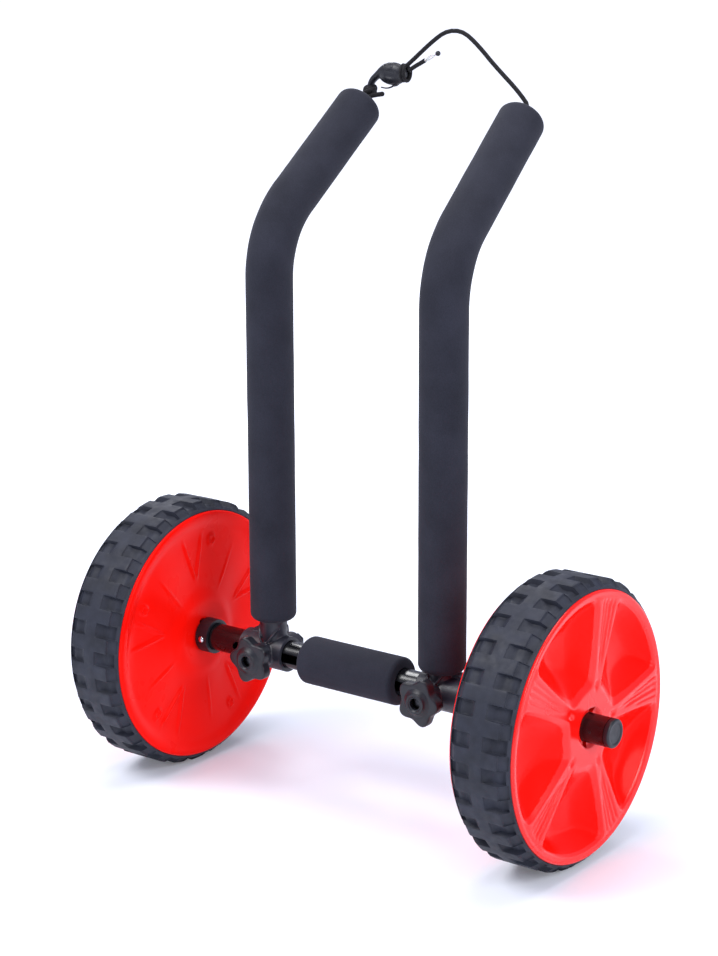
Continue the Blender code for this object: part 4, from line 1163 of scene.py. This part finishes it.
def lean_of(side):
    """Direction of an arm's upper part, past its bend."""
    return Matrix.Rotation(ARM_TURN[side], 3, "Z") @ LEAN


def tip_of(side, recess=0.0):
    """Point on an arm's centre line, that far before the end of its foam."""
    return AXLE + Vector((ARM_X[side], 0, ARM_CORNER[side])) + lean_of(side) * (ARM_REACH[side] - recess)


def cord_face(side):
    """Point where the cord comes out of the plug in an arm's tip."""
    return tip_of(side, ARM_TUBE_RECESS - PLUG_FLANGE - GAP) + lean_of(side) * GAP


def thicken(obj, wall):
    """Gives an open tube its wall, inwards from the outside."""
    step = obj.modifiers.new("wall", "SOLIDIFY")
    step.thickness = wall
    step.offset = -1
    step.use_even_offset = True
    apply_all(obj)


def arm_foam(side):
    """Foam sleeve pushed over the bent tube, rounded at both ends."""
    obj = arm_sweep(f"{side}_arm_sleeve", side, ARM_FOAM_R, FOAM_FOOT[side], 0.0, 72, 40)
    thicken(obj, ARM_FOAM_R - FOAM_BORE_R)
    tip = Vector((0, 0, ARM_CORNER[side])) + LEAN * ARM_REACH[side]
    foot = FOAM_FOOT[side]

    def end_edge(place):
        low_end = abs(place.z - foot) < 0.0002 and hypot(place.x, place.y) > ARM_FOAM_R - 0.001
        off = place - tip
        high_end = abs(off.dot(LEAN)) < 0.0002 and off.length > ARM_FOAM_R - 0.001
        return low_end or high_end

    round_ends(obj, end_edge)
    soften(obj, ARM_FOAM_DENT)
    if foot < WEB_TOP_Z:
        cut(obj, clamp_web(side, GAP))
    at_arm(obj, side)
    fit(obj, "black_foam", f"{side}_arm", f"{side}_arm_foam", angle=60)


def arm_tube(side):
    """Bent tube inside the foam, from the clamp's neck to the plug."""
    obj = arm_sweep(f"{side}_arm_bar", side, TUBE_R, NECK_TOP + GAP, ARM_TUBE_RECESS, 48, 4)
    thicken(obj, ARM_WALL)
    at_arm(obj, side)
    fit(obj, "black_tube", f"{side}_arm", f"{side}_arm_tube")


def arm_plug(side):
    """Plug in the arm's tip with a hole for the cord."""
    hole = CORD_R + CLEARANCE
    flange, end = PLUG_FLANGE + GAP, GAP - PLUG_LENGTH
    obj = lathe(f"{side}_tip_plug", [
        (flange, hole), (flange, TUBE_R), (GAP, TUBE_R), (GAP, PLUG_R), (end, PLUG_R), (end, hole),
    ], 56, axis=(0, 0, 1))
    bevel(obj, 0.0006, 3, 40)
    turn = lean_of(side).to_track_quat("Z", "Y").to_matrix().to_4x4()
    moved(obj, Matrix.Translation(tip_of(side, ARM_TUBE_RECESS)) @ turn)
    fit(obj, "black_plastic", f"{side}_arm", f"{side}_arm_plug")


# Clamps


def web(foot, top, half):
    """Upright web: a block from foot to top, each of which is an x and the web's height there."""
    bpy.ops.object.select_all(action="DESELECT")
    bpy.ops.mesh.primitive_cube_add(size=1, location=(0, 0, 0))
    obj = started("web")
    for vertex in obj.data.vertices:
        place = vertex.co
        x, high = foot if place.x > 0 else top
        place.x = x
        place.y = half if place.y > 0 else -half
        place.z = high if place.z > 0 else WEB_LOW_Z
    edit(obj)
    bpy.ops.mesh.select_all(action="SELECT")
    bpy.ops.mesh.normals_make_consistent(inside=False)
    leave()
    return obj


def clamp_web(side, grow=0.0):
    """Web between the collar's long end and the neck."""
    out = SIDES[side]
    foot = (out * (WEB_FOOT_X + grow), WEB_FOOT_Z + grow)
    return web(foot, (out * WEB_TOP_X, WEB_TOP_Z + 2 * grow), WEB_HALF + grow)


def clamp(side):
    """Moulded T-fitting: collar on the axle, neck, webs, a saddle with two ribs and a boss."""
    out = SIDES[side]
    short, long = -out * CLAMP_IN, out * CLAMP_OUT
    body = cylinder(f"{side}_tee", (short - out * 0.003, 0, 0), (long + out * 0.003, 0, 0), CLAMP_R, 64)
    neck = cylinder("neck", (0, 0, -0.004), (0, 0, NECK_TOP), TUBE_R, 64)
    boss = cylinder("boss", (0, -BOSS_FRONT, 0), (0, BOSS_BACK, 0), BOSS_R, 48)
    small_web = web((-out * SMALL_WEB_FOOT_X, WEB_FOOT_Z), (-out * WEB_TOP_X, SMALL_WEB_TOP_Z), WEB_HALF)
    ribs = []
    for face in (-1, 1):
        for way in (-1, 1):
            knots = [(way * x, face * y, z) for x, y, z in SADDLE_RIB]
            ribs.append(tube("rib", smooth_run(knots, 0.002), SADDLE_RIB_R, 12))
    cut(body, neck, boss, clamp_web(side), small_web, *ribs, operation="UNION")
    moulded(body, CLAMP_VOXEL)
    bore = cylinder("bore", (-CUTTER_REACH, 0, 0), (CUTTER_REACH, 0, 0), TUBE_R + GAP, 64)
    hole = cylinder("bolt_hole", (0, -CUTTER_REACH, 0), (0, CUTTER_REACH, 0), BOLT_R + CLEARANCE, 32)
    trims = [
        cylinder("trim", (end, 0, 0), (end + way * 0.02, 0, 0), 0.03, 32)
        for end, way in ((short, -out), (long, out))
    ]
    cut(body, bore, hole, *trims)
    bevel(body, 0.0006, 2, 60)
    at_axle(body, ARM_X[side])
    fit(body, "black_plastic", f"{side}_arm", f"{side}_clamp", angle=40)
    # The clamp wears the lighter nylon copy, which is painted light
    body.data.materials[0] = MATERIALS["clamp_nylon_painted_light"]


def washer(side, name, near, body):
    """Thin steel washer on the clamp's bolt."""
    obj = ring(f"{side}_{name}_disc", near, near + WASHER_THICK, BOLT_R + CLEARANCE, WASHER_R, 48, (0, 1, 0))
    bevel(obj, 0.0003, 2, 40)
    at_axle(obj, ARM_X[side])
    fit(obj, "black_steel", body, f"{side}_{name}")


def clamp_bolt(side):
    """Hexagon bolt, its head at the back and the tip of its shank inside the knob."""
    head_at = BOSS_BACK + WASHER_THICK + 2 * GAP
    obj = cylinder(f"{side}_bolt", (0, BOLT_TIP_Y, 0), (0, head_at + 0.001, 0), BOLT_R, 32)
    head = cylinder("head", (0, head_at, 0), (0, head_at + HEAD_THICK, 0), HEAD_R, 6)
    cut(obj, head, operation="UNION")
    bevel(obj, 0.0004, 2, 40)
    at_axle(obj, ARM_X[side])
    fit(obj, "black_steel", f"{side}_arm", f"{side}_clamp_bolt")


def knob(side):
    """Five-lobed star knob with softly rounded lobes and a raised ring round its eye."""
    back = -BOSS_FRONT - GAP - WASHER_THICK - GAP
    front = back - KNOB_THICK
    face = front + KNOB_HUB_RISE
    obj = cylinder(f"{side}_star", (0, back, 0), (0, face, 0), KNOB_R, 120)
    middle, swing = (KNOB_R + KNOB_VALLEY_R) / 2, (KNOB_R - KNOB_VALLEY_R) / 2
    for vertex in obj.data.vertices:
        angle = atan2(vertex.co.z, vertex.co.x)
        radius = middle + swing * cos(5 * (angle - KNOB_ANGLE[side]))
        vertex.co.x, vertex.co.z = radius * cos(angle), radius * sin(angle)
    bevel(obj, KNOB_ROUNDING, 5, 50)
    inside = -(back + face) / 2
    outline = [(inside, 0), (inside, KNOB_HUB_FOOT_R + 0.001)]
    outline += [(-face + height, radius) for height, radius in HUB_FOOT]
    outline += [(-front + height, radius) for height, radius in HUB_FRONT]
    hub = lathe("hub", outline, 64, axis=(0, -1, 0), closed=False)
    cut(obj, hub, operation="UNION")
    cut(obj, cylinder("eye", (0, 0, 0), (0, 2 * front, 0), KNOB_EYE_R, 40))
    at_axle(obj, ARM_X[side])
    fit(obj, "black_plastic", f"{side}_knob", f"{side}_knob", angle=30)


# Bungee cord and snap hook


def bungee():
    """The free cord from the right arm's tip to the hook, in two halves that part at its highest point."""
    start = cord_face("right")
    lead = start + lean_of("right") * CORD_LEAD
    knots = [AXLE + Vector(p) for p in RIGHT_ROUTE + [HALVES_MEET] + LEFT_ROUTE + [CORD_END_AT_HOOK]]
    points = smooth_run([start, lead] + knots, CORD_SPACING)
    top = max(range(len(points)), key=lambda i: points[i].z)
    halves = (
        ("right", points[: top + 1], ("right_arm", "root")),
        ("left", points[top:], ("root", "left_arm")),
    )
    for side, path, bodies in halves:
        obj = tube(f"{side}_cord", path, CORD_R, 20)
        smooth(obj, 60)
        obj.data.materials.append(MATERIALS["black_cord"])
        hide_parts(f"bungee_{side}")
        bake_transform(obj)


def turn_round(middle, first, second, drift=(0, 0, 0)):
    """Knots of one turn of cord about a middle, with its ends overlapping and drifting apart."""
    return [
        middle + first * cos(i * pi / 6) + second * sin(i * pi / 6) + Vector(drift) * i / 12
        for i in range(14)
    ]


def hook_wrap(shift):
    """One turn of the cord round the end of the hook's shell."""
    width, height = HOOK_WRAP_SIZE
    middle = AXLE + Vector((HOOK_WRAP_X + shift, HOOK_Y, HOOK_BODY_AT[2] + HOOK_WRAP_RISE))
    turn = turn_round(middle, Vector((0, width, 0)), Vector((0, 0, height)), (HOOK_WRAP_R, 0, 0))
    return tube("wrap", smooth_run(turn, 0.002), HOOK_WRAP_R, 12)


def bare_strands(end, bead_at):
    """Rubber strands that fan out of the cut sheath and meet in the bead."""
    way = (bead_at - end).normalized()
    across = way.cross(Vector((0, 1, 0))).normalized()
    strands = []
    for side, out in STRANDS:
        aside = (across * side + Vector((0, out, 0))) * STRAND_SPREAD
        knots = [
            end - way * 0.001 + aside * 0.5,
            end.lerp(bead_at, 0.45) + aside * 1.5,
            bead_at - way * (BEAD_R - 0.0004),
        ]
        strands.append(tube("strand", smooth_run(knots, 0.0015), STRAND_R, 8))
    core = joined(*strands)
    core.name = "cord_core"
    return core


def tail():
    """Cut end of the cord past the hook: sheath, bare core and the bead on its end."""
    path = smooth_run([AXLE + Vector(p) for p in TAIL_ROUTE], 0.002)
    sheath = joined(tube("cord_tail", path, CORD_R, 20), *[hook_wrap(s) for s in (-HOOK_WRAP_R, HOOK_WRAP_R)])
    fit(sheath, "black_cord", "left_arm", "bungee_tail", angle=60)
    bead_at = AXLE + Vector(BEAD_AT)
    fit(bare_strands(path[-1], bead_at), "clear_core", "left_arm", "tail_core", angle=60)
    bead = ball("end_bead", bead_at, (BEAD_R,) * 3)
    fit(bead, "black_plastic", "left_arm", "tail_bead", angle=60)


def snap_hook():
    """Shell with a hollow panel on each face, a curved bar that thins to its tip, and a tongue."""
    middle = AXLE + Vector(HOOK_BODY_AT)
    body = ball("hook_shell", middle, HOOK_BODY_SIZE, 48)
    path = smooth_run([AXLE + Vector((x, HOOK_Y, z)) for x, z, _ in HOOK_ARM], 0.0012)
    radii = []
    for i in range(len(path)):
        place = i / (len(path) - 1) * (len(HOOK_ARM) - 1)
        at = min(int(place), len(HOOK_ARM) - 2)
        radii.append(HOOK_ARM[at][2] + (HOOK_ARM[at + 1][2] - HOOK_ARM[at][2]) * (place - at))
    bar = tube("bar", path, radii, 24)
    tongue = [AXLE + Vector((x, HOOK_Y, z)) for x, z in HOOK_GATE]
    joint = tube("tongue_root", [tongue[0] + Vector((x, 0, z)) for x, z, _ in HOOK_TONGUE_ROOT],
                 [radius for _, _, radius in HOOK_TONGUE_ROOT], 16)
    cut(body, bar, joint, operation="UNION")
    x, y, z = HOOK_PANEL_OFFSET
    panels = [ball("panel", middle + Vector((x, face * y, z)), HOOK_PANEL_SIZE, 32) for face in (-1, 1)]
    cut(body, *panels)
    moulded(body, HOOK_VOXEL)
    fit(body, "black_plastic", "left_arm", "hook_body", angle=60)
    path = smooth_run(tongue, 0.001)
    radii = [HOOK_TONGUE_R - HOOK_TONGUE_TAPER * i / len(path) for i in range(len(path))]
    fit(tube("hook_tongue", path, radii, 14), "black_plastic", "hook_gate", "hook_gate", angle=60)


def cord_loop():
    """Loop of the same cord on the left arm's tip, knotted, which the hook holds."""
    face = cord_face("left")
    knot_at = AXLE + Vector(LOOP_KNOT_AT)
    knot = ball("loop_knot", knot_at, (LOOP_KNOT_R,) * 3)
    pieces = [tube("lead", [face, face.lerp(knot_at, 0.5), knot_at], CORD_R, 16)]
    second = Vector(LOOP_TURN_LEAN).normalized() * LOOP_TURN_R
    for tilt, shift in LOOP_TURNS:
        first = Vector((cos(tilt), 0, sin(tilt))) * LOOP_TURN_R
        turn = turn_round(knot_at + Vector((0, shift, 0)), first, second)
        pieces.append(tube("turn", smooth_run(turn, 0.0015), CORD_R, 16))
    pieces.append(tube("stub", smooth_run([AXLE + Vector(p) for p in LOOP_TAIL], 0.002), CORD_R * 1.1, 16))
    pieces.append(ball("stub_end", AXLE + Vector(LOOP_TAIL[-1]), (CORD_R * 1.15,) * 3, 16))
    fit(joined(knot, *pieces), "black_cord", "left_arm", "left_loop", angle=60)


def carried_over():
    """The CAD nodes that still show get the finish of their slot."""
    for name, obj in frame["nodes"].items():
        if obj.hide_render:
            continue
        slot = next(s["material_slot"] for s in frame["record"]["subparts"] if s["node"] == name)
        obj.data.materials.clear()
        obj.data.materials.append(MATERIALS[slot])


camera()
bungee()
tail()
snap_hook()
cord_loop()
studio()
for side in SIDES:
    tyre(side)
    rim(side)
    end_cap(side)
    stop_collar(side)
    button(side, "inner", COLLAR_X, -1, INNER_BUTTON_TIP)
    button(side, "outer", OUTER_BUTTON_X, 1, OUTER_BUTTON_TIP)
    arm_foam(side)
    arm_tube(side)
    arm_plug(side)
    clamp(side)
    clamp_bolt(side)
    washer(side, "back_washer", BOSS_BACK + GAP, f"{side}_arm")
    washer(side, "front_washer", -BOSS_FRONT - GAP - WASHER_THICK, f"{side}_knob_washer")
    knob(side)
axle()
axle_padding()
carried_over()
